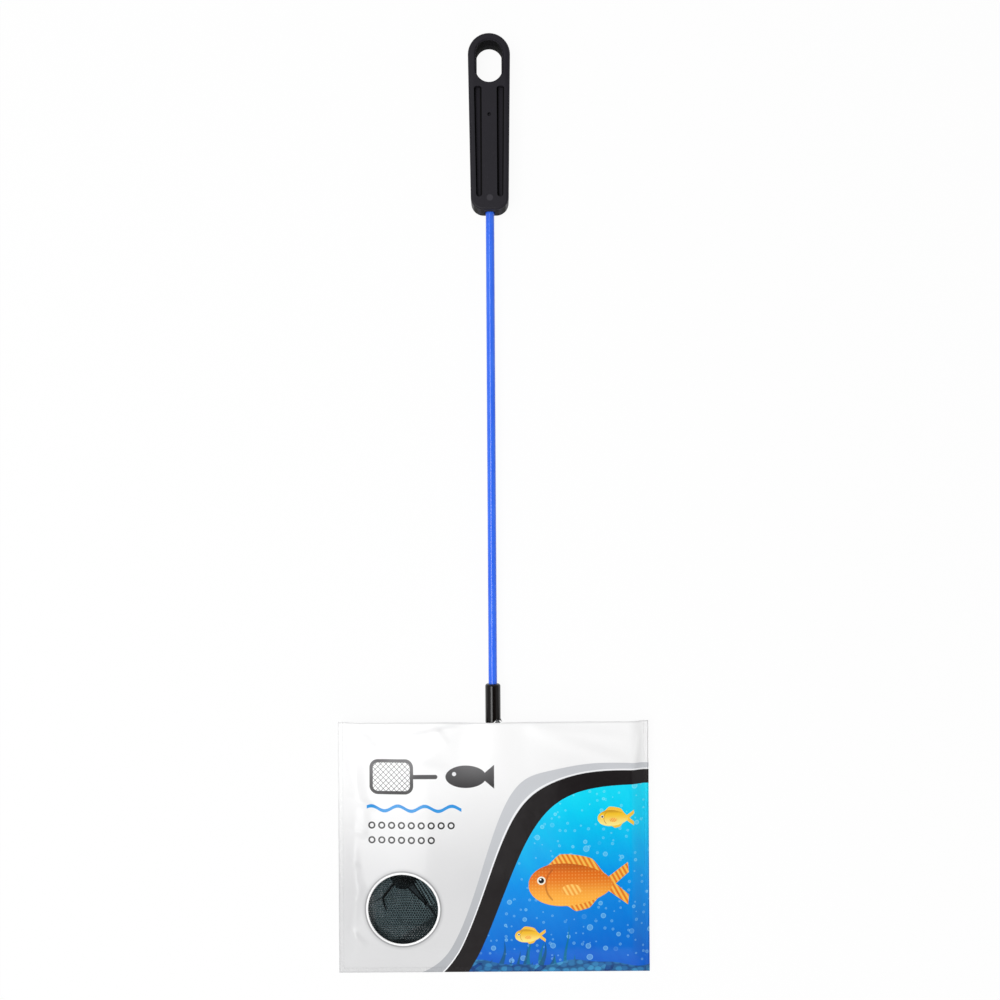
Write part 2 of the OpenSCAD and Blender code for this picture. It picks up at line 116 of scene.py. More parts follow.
class Val:
    """One output of a node, with the operators of a number."""

    def __init__(self, graph, socket):
        self.graph = graph
        self.socket = socket

    def math(self, operation, *others):
        return self.graph.add("ShaderNodeMath", {"operation": operation}, dict(enumerate([self, *others])))

    def __add__(self, other):
        return self.math("ADD", other)

    def __sub__(self, other):
        return self.math("SUBTRACT", other)

    def __mul__(self, other):
        return self.math("MULTIPLY", other)

    def __truediv__(self, other):
        return self.math("DIVIDE", other)

    def __rsub__(self, other):
        return self.graph.add("ShaderNodeMath", {"operation": "SUBTRACT"}, {0: other, 1: self})

    def __rtruediv__(self, other):
        return self.graph.add("ShaderNodeMath", {"operation": "DIVIDE"}, {0: other, 1: self})

    def __neg__(self):
        return self * -1

    def __pow__(self, other):
        return self.math("POWER", other)

    def __abs__(self):
        return self.math("ABSOLUTE")

    __radd__ = __add__
    __rmul__ = __mul__


class Graph:
    """A node tree with one method that adds any node."""

    def __init__(self, tree):
        self.tree = tree

    def add(self, kind, settings=None, sockets=None, out=0):
        node = self.tree.nodes.new(kind)
        for name, value in (settings or {}).items():
            if name == "stops":
                while len(node.color_ramp.elements) < len(value):
                    node.color_ramp.elements.new(0.5)
                for element, (place, colour) in zip(node.color_ramp.elements, value):
                    element.position = place
                    element.color = (*colour, 1)
            else:
                setattr(node, name, value)
        for key, value in (sockets or {}).items():
            found = {s.identifier: s for s in node.inputs}
            target = node.inputs[key] if isinstance(key, int) else found.get(key) or node.inputs[key]
            if isinstance(value, Val):
                self.tree.links.new(value.socket, target)
            elif value is not None:
                target.default_value = value
        if out is None:
            return node
        found = {s.identifier: s for s in node.outputs}
        return Val(self, node.outputs[out] if isinstance(out, int) else found.get(out) or node.outputs[out])


print("Val and Graph are ready")

# %% Sums and colours by name


def root(v):
    return v.math("SQRT")


def sine(v):
    return v.math("SINE")


def hypot(a, b):
    return root(a * a + b * b)


def least(a, b):
    return a.math("MINIMUM", b)


def most(a, b):
    return a.math("MAXIMUM", b)


def fade(v, start, end):
    """0 before start and 1 after end, with a soft change between them."""
    sockets = {"Value": v, "From Min": start, "From Max": end, "To Min": 0.0, "To Max": 1.0}
    return v.graph.add("ShaderNodeMapRange", {"interpolation_type": "SMOOTHSTEP", "clamp": True}, sockets)


def blend_colours(factor, a, b):
    """Colour a where factor is 0 and b where it is 1."""
    graph = factor.graph
    a = (*a, 1) if isinstance(a, tuple) else a
    b = (*b, 1) if isinstance(b, tuple) else b
    sockets = {"Factor_Float": factor, "A_Color": a, "B_Color": b}
    return graph.add("ShaderNodeMix", {"data_type": "RGBA"}, sockets, "Result_Color")


def srgb(*levels):
    """A colour picked on a screen, as the light values that a shader wants."""
    shares = [level / 255 for level in levels]
    return tuple(c / 12.92 if c <= 0.04 else ((c + 0.055) / 1.055) ** 2.4 for c in shares)


print("a mid grey of 128 is", round(srgb(128, 128, 128)[0], 3), "as light")

# %% [markdown]
# ## One class for every finish
# Every finish starts the same way: a material, its Principled shader, and the place of each point
# in the piece's own coordinates. The class Finish does that once, and adds the few patterns that
# most real surfaces need: noise, scattered cells and a bump. Its sizes are in millimetres, because
# a grain of 0.16 mm is easier to picture than a texture scale in the thousands.

# %% A material with its coordinates


class Finish(Graph):
    """A material with a Principled shader, and its object's own coordinates in millimetres."""

    def __init__(self, name, **constants):
        self.material = bpy.data.materials.new(name)
        self.material.use_nodes = True
        super().__init__(self.material.node_tree)
        self.shader = self.tree.nodes["Principled BSDF"]
        for socket, value in constants.items():
            self.shader.inputs[socket.replace("_", " ")].default_value = value
        self.place = self.add("ShaderNodeTexCoord", out="Object")
        split = self.add("ShaderNodeSeparateXYZ", {}, {0: self.place}, None)
        self.x, self.y, self.z = (Val(self, split.outputs[i]) * (1 / mm) for i in range(3))

    def feed(self, **values):
        for socket, value in values.items():
            self.tree.links.new(value.socket, self.shader.inputs[socket.replace("_", " ")])
        return self.material

    def noise(self, size, detail=2.0, stretch=(1, 1, 1)):
        """Smooth random values about 0.5, in blots of about size millimetres."""
        scale = tuple(s / (size * mm) for s in stretch)
        place = self.add("ShaderNodeMapping", {}, {"Vector": self.place, "Scale": scale})
        return self.add("ShaderNodeTexNoise", {}, {"Vector": place, "Scale": 1.0, "Detail": detail})

    def bump(self, height, depth, strength=1.0):
        """A normal from a height in shares of depth, which is in millimetres."""
        sockets = {"Height": height, "Distance": depth * mm, "Strength": strength}
        return self.add("ShaderNodeBump", {}, sockets)

    def cells(self, across, up, level=0.0):
        """Distance to the nearest of many scattered spots, and two random values of that spot."""
        place = self.add("ShaderNodeCombineXYZ", {}, {0: across, 1: up, 2: level})
        sockets = {"Vector": place, "Scale": 1.0}
        near = self.add("ShaderNodeTexVoronoi", {"voronoi_dimensions": "2D"}, sockets, None)
        tint = self.add("ShaderNodeSeparateColor", {}, {0: Val(self, near.outputs["Color"])}, None)
        return Val(self, near.outputs["Distance"]), Val(self, tint.outputs[0]), Val(self, tint.outputs[1])


def add_object(name, data):
    made = bpy.data.objects.new(name, data)
    bpy.context.scene.collection.objects.link(made)
    return made


print("Finish is ready")

# %% [markdown]
# ## The camera
# The photograph was taken from about half a metre above the table, looking straight down: the hang
# hole's far wall and the grip's lower end show, which only a near camera can see. The handle leans
# a little in the bag, and a slight roll of the camera shares that lean between the two.

# %% Camera
camera_data = bpy.data.cameras.new("camera")
camera_data.sensor_width = 36.0
camera_data.lens = 40.88
camera_data.clip_start = 0.01
camera = add_object("camera", camera_data)
camera.location = (3.7 * mm, 2.1 * mm, 512 * mm)
camera.rotation_euler = (0.0, 0.0, math.radians(-0.35))
bpy.context.scene.camera = camera
print("camera at", tuple(round(c / mm, 1) for c in camera.location), "mm")

# %% [markdown]
# ## Stage and light
# A white sheet lies under the net. It takes the object's shadow as a real sheet does, and for
# camera and glossy rays some of its brightness comes from emission, so that it reads as white
# without more light on the object. One large soft lamp hangs overhead, a little to the left, which
# gives the rod and collar their long highlights. A second one low down lights the grip's end. It
# shows in no mirror image, because the film's slopes would mirror it as stripes. A black card
# behind the camera keeps the glossy black and blue parts from mirroring white there.

# %% Stage


def flat_card(name, low, high, corners):
    """A rectangle from low to high, whose corners are named in the order that gives it its front."""
    mesh = bpy.data.meshes.new(name)
    spots = [(low[0], low[1], 0), (high[0], low[1], 0), (high[0], high[1], 0), (low[0], high[1], 0)]
    mesh.from_pydata(spots, [], [corners])
    return add_object(name, mesh)


floor = flat_card("floor", (-3, -3), (3, 3), (0, 1, 2, 3))
floor.location.z = -0.4 * mm
paper = Finish("white_paper", Base_Color=(*srgb(244, 244, 244), 1), Roughness=0.9, Specular_IOR_Level=0.2)
path = paper.add("ShaderNodeLightPath", out=None)
seen = most(Val(paper, path.outputs["Is Camera Ray"]), Val(paper, path.outputs["Is Glossy Ray"]))
seen = most(seen, Val(paper, path.outputs["Is Transmission Ray"]))
glow = paper.add("ShaderNodeEmission", {}, {"Color": (1, 1, 1, 1), "Strength": 1.0})
paper_shader = Val(paper, paper.shader.outputs[0])
mixed = paper.add("ShaderNodeMixShader", {}, {0: seen * 0.95, 1: paper_shader, 2: glow})
paper.tree.links.new(mixed.socket, paper.tree.nodes["Material Output"].inputs["Surface"])
floor.data.materials.append(paper.material)

world = bpy.data.worlds.new("studio")
world.use_nodes = True
world.node_tree.nodes["Background"].inputs["Color"].default_value = (1, 1, 1, 1)
world.node_tree.nodes["Background"].inputs["Strength"].default_value = 0.48
bpy.context.scene.world = world
bpy.context.scene.view_settings.view_transform = "Standard"


def lamp(name, place, target, size, power):
    data = bpy.data.lights.new(name, "AREA")
    data.shape = "RECTANGLE"
    data.size, data.size_y = size
    data.energy = power
    obj = add_object(name, data)
    obj.location = place
    aim = np.array(target) - np.array(place)
    aim = aim / np.linalg.norm(aim)
    obj.rotation_euler = (math.asin(aim[1]), math.atan2(-aim[0], -aim[2]), 0)
    return obj


lamp("overhead", (-0.35, -0.1, 1.0), (0, -0.1, 0), (0.42, 0.9), 7.3)
lamp("low_front", (0.25, -0.9, 0.5), (0, 0, 0), (0.6, 0.3), 2.0).visible_glossy = False

card = flat_card("black_card", (-0.1, -0.6), (0.45, 0.35), (0, 3, 2, 1))
card.location.z = 0.8
matt = Finish("black_card", Base_Color=(*srgb(12, 12, 12), 1), Roughness=0.9, Specular_IOR_Level=0.1)
card.data.materials.append(matt.material)
print("stage and lamps are in place")

# %% [markdown]
# ## Moulded plastic
# The grip is injection moulded in black plastic. Its mould was roughened by sparks, which leaves a
# fine even grain, and the two halves of the mould leave a hair line round its sides. A little dust
# and handling make its gloss uneven. The colour also follows the place, as painted shade and light:
# the edges of the grooves and the wall of the hang hole get painted shade, nearly black, and the
# floors of the grooves a lighter paint that lifts the shade falling in them. A slight crown in the
# bump rounds the rails beside the grooves. The sizes below are the grip's own, in millimetres.

# %% Grip finish
GRIP_HALF = 6.0
RIB_X = 3.3
GROOVE_X = 6.9
GROOVE_TOP = 186
TAPER = 0.0125
RAIL_X = 9.4
EJECTOR_Y = 135.45
moulded = Finish("moulded_black", Roughness=0.5, Specular_IOR_Level=0.24)
grain = moulded.noise(0.16, detail=3.0)
clouds = moulded.noise(9.0, detail=4.0)
hair = 1 - fade(abs(moulded.z - MID_Z / mm), 0.03, 0.1)
scuffs = fade(moulded.noise(1.4, detail=5.0, stretch=(3, 0.4, 1)), 0.62, 0.78)
black = blend_colours(clouds, srgb(24, 22, 29), srgb(33, 31, 38))
black = blend_colours(scuffs * 0.3, black, srgb(60, 58, 66))
beside = abs(moulded.x)
sunk = fade(GRIP_HALF - abs(moulded.z - MID_Z / mm), 0.3, 1.6) * fade(beside, GROOVE_X + 0.3, GROOVE_X)
outer_wall = (moulded.y - GROOVE_TOP) * TAPER + GROOVE_X
walls = least(abs(beside - RIB_X), abs(beside - outer_wall))
mark = fade(hypot(moulded.x, moulded.y - EJECTOR_Y), 1.7, 1.3)
black = blend_colours(mark * 0.5, black, srgb(70, 68, 74))
in_hole = fade(moulded.y, GROOVE_TOP - 1, GROOVE_TOP + 1)
# Painted shade and light: the hang hole's wall is painted nearly black, the groove floors lighter
black = blend_colours(sunk * 0.7, black, blend_colours(in_hole, srgb(40, 38, 44), srgb(2, 1, 1)))
# Painted shade: the edges of the grooves are painted black
black = blend_colours(sunk * fade(walls, 1.0, 0.6), black, srgb(0, 0, 0))
crown = fade(beside, GROOVE_X, RAIL_X)
grip_finish = moulded.feed(
    Base_Color=black,
    Roughness=0.46 + clouds * 0.16 - scuffs * 0.06 + sunk * (in_hole * 0.3 + 0.3),
    Normal=moulded.bump(grain * 0.5 + hair * 0.3 - crown * 9, 0.05, 0.8),
)

# %% [markdown]
# ## Dipped vinyl
# The rod's blue skin is vinyl that was dipped on hot. It is smooth and glossy, with slow waves
# where it ran, and its blue is a little deeper in the waves. The hoop wire has the same skin in
# black, and the collar is a softer black sleeve of the same kind, with long creases where the
# wires inside press on it.

# %% Vinyl finishes


def vinyl(name, deep, light, rough, gloss=0.44, crease=False):
    skin = Finish(name, Roughness=rough, Specular_IOR_Level=gloss)
    waves = skin.noise(5.0, detail=2.0, stretch=(1.6, 0.35, 1.6))
    specks = skin.noise(0.5, detail=2.0)
    height = waves * 0.6 + specks * 0.01
    if crease:
        height = height + fade(abs(skin.x - 0.7), 0.0, 0.9) * 1.2
    return skin.feed(
        Base_Color=blend_colours(waves, deep, light),
        Roughness=rough + specks * 0.1 - 0.05,
        Coat_Weight=waves * 0.12,
        Normal=skin.bump(height, 0.1, 0.7),
    )


blue_vinyl = vinyl("vinyl_blue", srgb(24, 90, 238), srgb(68, 128, 252), 0.24)
black_vinyl = vinyl("vinyl_black", srgb(24, 25, 28), srgb(34, 35, 38), 0.3)
sleeve = vinyl("sleeve_black", srgb(8, 4, 3), srgb(16, 11, 9), 0.23, gloss=0.34, crease=True)

# %% [markdown]
# ## Steel
# The rod's core and the hoop are drawn steel wire. Drawing leaves fine lines along the wire, and
# the spot welds that join them inside the collar are darker and rougher.

# %% Steel finishes


def steel(name, colour, rough, line):
    metal = Finish(name, Metallic=1.0, Roughness=rough)
    lines = metal.noise(line, detail=3.0, stretch=(6, 0.15, 6))
    stain = metal.noise(3.0, detail=4.0)
    tone = blend_colours(lines * 0.5 + stain * 0.5, colour, tuple(c * 0.72 for c in colour))
    uneven = rough + stain * 0.2 - 0.1
    return metal.feed(Base_Color=tone, Roughness=uneven, Normal=metal.bump(lines, 0.02, 0.6))


drawn_wire = steel("drawn_wire", srgb(206, 208, 212), 0.3, 0.3)
weld_bead = steel("weld_bead", srgb(142, 140, 138), 0.5, 0.5)

# %% [markdown]
# ## Rigid pieces
# The grip, the rod, the collar and the wires have the right shape in the CAD already, with their
# grooves, bores and bends. Drawing them again would only bring in errors, so their meshes stay as
# they are and get the finishes from above.

# %% Dress the rigid nodes
rigid = {
    "grip": grip_finish,
    "rod_core": drawn_wire,
    "rod_coating": blue_vinyl,
    "collar": sleeve,
    "spot_welds": weld_bead,
    "hoop_wire": drawn_wire,
    "hoop_coating": black_vinyl,
}
for name, material in rigid.items():
    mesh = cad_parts[name].data
    mesh.materials.clear()
    mesh.materials.append(material)
print("dressed:", ", ".join(rigid))

# %% [markdown]
# ## From numbers to meshes
# The soft pieces are worked out as arrays of points with numpy and handed to Blender as meshes.
# A film is a shell: two skins a tenth of a millimetre apart, joined along every free edge. The
# free edges are the ones that only one face uses, which numpy finds by sorting.

# %% Mesh helpers


def smooth(t):
    t = np.clip(t, 0, 1)
    return t * t * (3 - 2 * t)


def bell(t):
    return np.exp(-t * t)


def to_mesh(name, points, faces):
    mesh = bpy.data.meshes.new(name)
    size = faces.shape[1]
    mesh.vertices.add(len(points))
    mesh.vertices.foreach_set("co", points.astype(np.float32).ravel())
    mesh.loops.add(faces.size)
    mesh.loops.foreach_set("vertex_index", faces.astype(np.int32).ravel())
    mesh.polygons.add(len(faces))
    mesh.polygons.foreach_set("loop_start", np.arange(0, faces.size, size, dtype=np.int32))
    mesh.polygons.foreach_set("use_smooth", np.ones(len(faces), dtype=bool))
    mesh.update(calc_edges=True)
    mesh.validate()
    return mesh


def add_uv(mesh, uv):
    """Gives a mesh a UV map with one place for each corner of each face."""
    mesh.uv_layers.new(name="UVMap").data.foreach_set("uv", uv.astype(np.float32).ravel())
    return mesh


def place(name, mesh, material, body, slot, *stands_for):
    """Puts a mesh in the scene as a piece that rides on a body, in place of some CAD nodes."""
    piece = add_object(name, mesh)
    if material is not None:
        mesh.materials.clear()
        mesh.materials.append(material)
    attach(piece, body)
    if stands_for:
        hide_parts(*stands_for)
    return piece


def free_edges(faces):
    """Edges that one face uses, each in that face's own direction."""
    edges = np.concatenate([np.stack([faces[:, i], faces[:, (i + 1) % 4]], 1) for i in range(4)])
    key = np.sort(edges, 1)
    order = np.lexsort((key[:, 1], key[:, 0]))
    same = (key[order][1:] == key[order][:-1]).all(1)
    alone = np.ones(len(edges), dtype=bool)
    alone[order[1:][same]] = False
    alone[order[:-1][same]] = False
    return edges[alone]


def shell(name, outer, inner, faces):
    """A closed shell from two skins with the same faces. The faces point out on the outer skin."""
    count = len(outer)
    rim = free_edges(faces)
    walls = np.stack([rim[:, 1], rim[:, 0], rim[:, 0] + count, rim[:, 1] + count], 1)
    skins = [faces, faces[:, ::-1] + count]
    return to_mesh(name, np.concatenate([outer, inner]), np.concatenate([*skins, walls]))


def grid_faces(rows, cols):
    a = (np.arange(rows - 1)[:, None] * cols + np.arange(cols - 1)[None, :]).ravel()
    return np.stack([a, a + 1, a + cols + 1, a + cols], 1)


print("free edges of one square:", len(free_edges(np.array([[0, 1, 2, 3]]))))

# %% [markdown]
# ## The bag's films
# Both films lie flat on each other in the heat seal, climb over the hoop's hem and swell a little
# in the middle. The climb is straighter than a smooth curve, because a steep place would mirror
# the lamps as a bright stripe. At the mouth the films draw in, so that they just let the hoop pass,
# and the front lies over the end of the collar. The front also has the soft wrinkles of the
# photograph: a few long folds that fan out from the collar, small ones across the upper left
# corner, and short ones along the left seal. Wrinkles only push outward, so a film never dips into
# what it covers. Each wrinkle is two places in millimetres, a width and a height.

# %% Height of a film
FRONT_H = float(front_high[2]) - MID_Z - 0.3 * mm
BACK_H = MID_Z - 0.3 * mm
FRONT_MOUTH_H = 2.5 * mm
COLLAR_LIFT = 1.65 * mm
BACK_MOUTH_H = 3.9 * mm
OVER_HEM = 2.5 * mm
LIFT_W = 16 * mm
DRAWN_IN_L = 32 * mm
CROWN = {"front": 34 * mm, "back": 12 * mm}


def rise(past, width):
    """From 0 to 1 over a width, straighter than smooth, so that no part of a slope is steep."""
    t = np.clip(past / width, 0, 1)
    return 0.3 * t + 0.7 * smooth(t)


def film_height(x, y, full, mouth, lift, run, top):
    """Height of a film off the middle, for its full height, its mouth's, and a lift at the collar."""
    side, end = BAG_X - np.abs(x) - FLAT_W, y - BAG_END - FLAT_W
    lifted = mouth + lift * (1 - smooth(np.abs(x) / LIFT_W))
    swell = lifted + (full - lifted) * smooth((top - y) / DRAWN_IN_L) - OVER_HEM
    climb = rise(side, SIDE_RISE) * rise(end, END_RISE)
    return OVER_HEM * climb + swell * smooth((side - SIDE_RISE) / run) * smooth((end - END_RISE) / run)


def fold_line(x, y, start, end, width, height):
    """A soft ridge along a line between two places, in millimetres, that fades out at both ends."""
    ax, ay = start[0] * mm, start[1] * mm
    dx, dy = end[0] * mm - ax, end[1] * mm - ay
    length = math.hypot(dx, dy)
    along = ((x - ax) * dx + (y - ay) * dy) / length**2
    across = ((x - ax) * dy - (y - ay) * dx) / length
    ends = smooth((along + 0.08) / 0.3) * smooth((1.08 - along) / 0.3)
    return height * mm * ends * bell(across / (width * mm))


WRINKLES = [
    ((-8, -97), (-58, -112), 3.0, 0.55), ((-6, -97), (-44, -104), 1.6, 0.35),
    ((-26, -99), (-20, -106), 1.2, 0.4), ((-12, -100), (-50, -128), 4.0, 0.3),
    ((8, -97), (60, -104), 2.6, 0.3), ((14, -98), (66, -118), 3.2, 0.35),
    ((-66, -104), (-60, -130), 2.0, 0.45), ((-67, -128), (-52, -134), 1.4, 0.35),
    ((-67, -142), (-56, -146), 1.2, 0.4), ((-67, -156), (-60, -160), 1.0, 0.35),
    ((-66, -186), (-57, -196), 1.4, 0.45), ((-67, -170), (-61, -176), 1.1, 0.35),
    ((66, -100), (62, -118), 1.6, 0.4), ((-60, -206), (-30, -203), 1.4, 0.2),
    ((10, -205), (60, -202), 1.4, 0.2), ((-62, -99), (-52, -109), 2.2, 0.32),
    ((-48, -112), (-18, -118), 2.4, 0.3), ((20, -150), (62, -176), 5.0, 0.2),
    ((-64, -148), (-60, -176), 2.2, 0.3), ((-58, -166), (-65, -190), 1.8, 0.25),
    ((-61, -110), (-57, -146), 2.6, 0.3),
]
WRINKLE_SHARE = 1.3


def wrinkles(x, y):
    total = WRINKLE_SHARE * sum(fold_line(x, y, *w) for w in WRINKLES)
    across = np.sin(x / (9 * mm) + 1.3 * np.sin(y / (17 * mm)))
    slow = 0.5 + 0.25 * across + 0.25 * np.sin(y / (11 * mm) + 0.8)
    sealed = smooth((BAG_X - np.abs(x) - SEAL_W) / (3 * mm)) * smooth((y - BAG_END - SEAL_W) / (3 * mm))
    return (total + 0.16 * mm * slow) * sealed


def front_height(x, y):
    return film_height(x, y, FRONT_H, FRONT_MOUTH_H, COLLAR_LIFT, CROWN["front"], BAG_TOP) + wrinkles(x, y)


print("front film's height over the window in mm:", round(float(front_height(*WINDOW)) / mm, 2))

# %% [markdown]
# ## A round window in a grid
# A grid of squares is easy to bend over a height, but a round hole cut into it has a ragged edge.
# So the grid of the front leaves a square free round the window. A ring of faces fills it, whose
# outer edge is the square's own grid points and whose inner edge is a true circle, and points that
# meet are merged. The clear patch is a square grid drawn round into a disc. It lies close behind
# the hole and is a little wider, because the real one is glued to the film all round it.

# %% Front film and window
FILM = 0.1 * mm
HOLE_SQUARE = 22 * mm
SIDE_STEPS = 44
SECTORS = 4 * SIDE_STEPS
RINGS = 12
GRID = 1.0 * mm


def lines(low, high, marks, step):
    """Places from low to high about one step apart, with the marks among them."""
    stops = [low, *marks, high]
    parts = [np.linspace(a, b, max(2, round((b - a) / step)) + 1)[:-1] for a, b in zip(stops, stops[1:])]
    return np.append(np.concatenate(parts), high)


square = [(c - HOLE_SQUARE, c + HOLE_SQUARE) for c in WINDOW]
xs = lines(-BAG_X, BAG_X, square[0], GRID)
ys = lines(BAG_END, BAG_TOP, square[1], GRID)
gx, gy = np.meshgrid(xs, ys)
flat = np.stack([gx.ravel(), gy.ravel()], 1)
faces = grid_faces(len(ys), len(xs))
middles = flat[faces].mean(1)
in_square = (np.abs(middles - WINDOW) < HOLE_SQUARE).all(1)
faces = faces[~in_square]

side = (np.arange(SIDE_STEPS) / SIDE_STEPS * 2 - 1) * HOLE_SQUARE
far = np.full(SIDE_STEPS, HOLE_SQUARE)
border = np.concatenate([np.stack(p, 1) for p in ((side, -far), (far, side), (-side, far), (-far, -side))])
turn = np.arctan2(border[:, 1], border[:, 0])
circle = WINDOW_R * np.stack([np.cos(turn), np.sin(turn)], 1)
shares = smooth(np.linspace(0, 1, RINGS)) * 0.4 + np.linspace(0, 1, RINGS) * 0.6
ring = WINDOW + np.concatenate([border + (circle - border) * s for s in shares])
row_starts = np.arange(RINGS - 1)[:, None] * SECTORS
closing = row_starts + [SECTORS - 1, 0, SECTORS, 2 * SECTORS - 1]
points = np.concatenate([flat, ring])
faces = np.concatenate([faces, grid_faces(RINGS, SECTORS) + len(flat), closing + len(flat)])
snapped = np.round(points / (0.001 * mm)).astype(int)
_, first, back = np.unique(snapped, axis=0, return_index=True, return_inverse=True)
points, faces = points[first], back.ravel()[faces]
used, back = np.unique(faces, return_inverse=True)
points, faces = points[used], back.reshape(faces.shape)
height = MID_Z + front_height(points[:, 0], points[:, 1])
skins = [np.column_stack([points, height + off]) for off in (FILM, 0)]
front_mesh = shell("bag_front", *skins, faces)
print("front film:", len(front_mesh.polygons), "faces, free edges:", len(free_edges(faces)))

PATCH = 0.06 * mm
PATCH_STEPS = 61
span = np.linspace(-1, 1, PATCH_STEPS)
px, py = (g.ravel() for g in np.meshgrid(span, span))
disc = np.stack([px * np.sqrt(1 - py * py / 2), py * np.sqrt(1 - px * px / 2)], 1)
disc = disc * (WINDOW_R + 2.6 * mm) + WINDOW
disc_height = MID_Z + front_height(disc[:, 0], disc[:, 1]) - PATCH
skins = [np.column_stack([disc, disc_height - off]) for off in (0, PATCH)]
window_mesh = shell("bag_window", *skins, grid_faces(PATCH_STEPS, PATCH_STEPS))

# %% [markdown]
# ## The back film
# The back has no window, so a plain grid is enough. It is the same height function turned down,
# with its own depth, and it ends a little short of the mouth. Its ripples are held under a tenth
# of a millimetre, so that the film stays inside the space of its CAD solid.

# %% Back film
BACK_TOP = float(back_high[1])
ys = lines(BAG_END, BACK_TOP, [], GRID)
gx, gy = np.meshgrid(lines(-BAG_X, BAG_X, [], GRID), ys)
bx, by = gx.ravel(), gy.ravel()
drop = film_height(bx, by, BACK_H, BACK_MOUTH_H, 0, CROWN["back"], BACK_TOP)
slow = 0.5 + 0.5 * np.sin(bx / (7 * mm) + 2 * np.sin(by / (23 * mm)))
ripple = np.minimum(0.12 * mm * slow * smooth(drop / (4 * mm)), 0.1 * mm)
below = MID_Z - drop - ripple
skins = [np.column_stack([bx, by, below - off]) for off in (FILM, 0)]
back_mesh = shell("bag_back", *skins, grid_faces(len(ys), gx.shape[1])[:, ::-1])
lowest = round(float((below - FILM).min()) / mm, 2)
print("back film:", len(back_mesh.polygons), "faces, lowest at", lowest, "mm")

# %% [markdown]
# ## The print on the front
# The bag is white film with a printed picture of water: a wave of black and grey with the water
# under it, three plain fish, bubbles, grass and pebbles. At its upper left are small signs for a
# net, a fish and a wave, over two rows of rings. A picture file would need drawing elsewhere, so
# the shader draws it. Every shape is a little sum on the place of a point, in millimetres from the
# bag's lower left corner: u to the right and v upwards. Where the sum is below zero the point is
# inside, and a very short fade gives a clean printed edge.

# %% Shapes as sums


def inside(distance, soft=0.08):
    """1 where a distance is below zero, with a printed edge."""
    return fade(distance, soft, -soft)


def over(colour, mask, paint):
    return blend_colours(mask, colour, paint)


def bar(u, v, start, end, half):
    """Distance to a straight bar with round ends."""
    dx, dy = end[0] - start[0], end[1] - start[1]
    along = ((u - start[0]) * dx + (v - start[1]) * dy) / (dx * dx + dy * dy)
    along = least(most(along, 0.0), 1.0)
    return hypot(u - start[0] - along * dx, v - start[1] - along * dy) - half


def plain_fish(colour, u, v, centre, size, back, belly):
    """A simple fish that looks to the left, painted over a colour. It is 48 times size long."""
    x = (u - centre[0]) / size
    y = (v - centre[1]) / size
    up = abs(y)
    # The outlines of body, tail and fins, and the striped fins themselves
    half = root(most(1 - (x / 19) ** 2, 0.0)) * (9.6 - x * 0.1)
    tail_out = 1.6 + most(x - 15, 0.0) * 0.72
    tail = most(most(up - tail_out, 14 - x), most(x - 27 + up * 0.1, (x - 20.5) * 0.85 - up))
    crest = fade(x, -11.0, -4.0) * fade(x, 16.0, 9.0)
    dorsal = most(y - half - crest * 4.2, -y - 2)
    keel = most(-y - half - fade(x, -2.0, 3.0) * fade(x, 13.0, 8.0) * 3.0, y - 2)
    fins = least(most(least(dorsal, keel), abs(x) - 17), tail)
    rays = sine((x * 0.9 + y * 0.5) * 3.2) * 0.5 + 0.5
    striped = blend_colours(rays, back, srgb(250, 196, 84))
    colour = over(colour, inside(fins * size) * inside(-x - 10.5), striped)
    # The body's skin, with scales, a dark back and a line behind the head
    scales = sine((x + y) * 2.1) * sine((x - y) * 2.1)
    skin = blend_colours(fade(y, -8.0, 5.0), belly, back)
    skin = over(skin, fade(scales, 0.2, 0.9) * 0.25, srgb(255, 214, 120))
    skin = over(skin, fade(y, 4.5, 9.5) * 0.5, srgb(150, 62, 16))
    gill = abs(hypot(x + 2, y) - 9.2)
    skin = over(skin, fade(gill, 0.7, 0.1) * inside(x + 8) * 0.55, srgb(160, 74, 24))
    colour = over(colour, inside(most(up - half, abs(x) - 18.9) * size), skin)
    # The side fin, and the eye with its light
    flap = hypot((x - 0.5) / 4.6, (y + 2.4) / 2.6) - 1
    colour = over(colour, inside(flap * 2), blend_colours(rays, srgb(240, 150, 50), srgb(255, 206, 110)))
    eye = hypot(x + 13.2, y - 2.0)
    colour = over(colour, inside(eye - 1.9), srgb(244, 238, 220))
    colour = over(colour, inside(eye - 1.25), srgb(24, 22, 26))
    return over(colour, inside(hypot(x + 13.6, y - 2.5) - 0.4), (1.0, 1.0, 1.0))


print("shapes ready")

# %% Water and signs


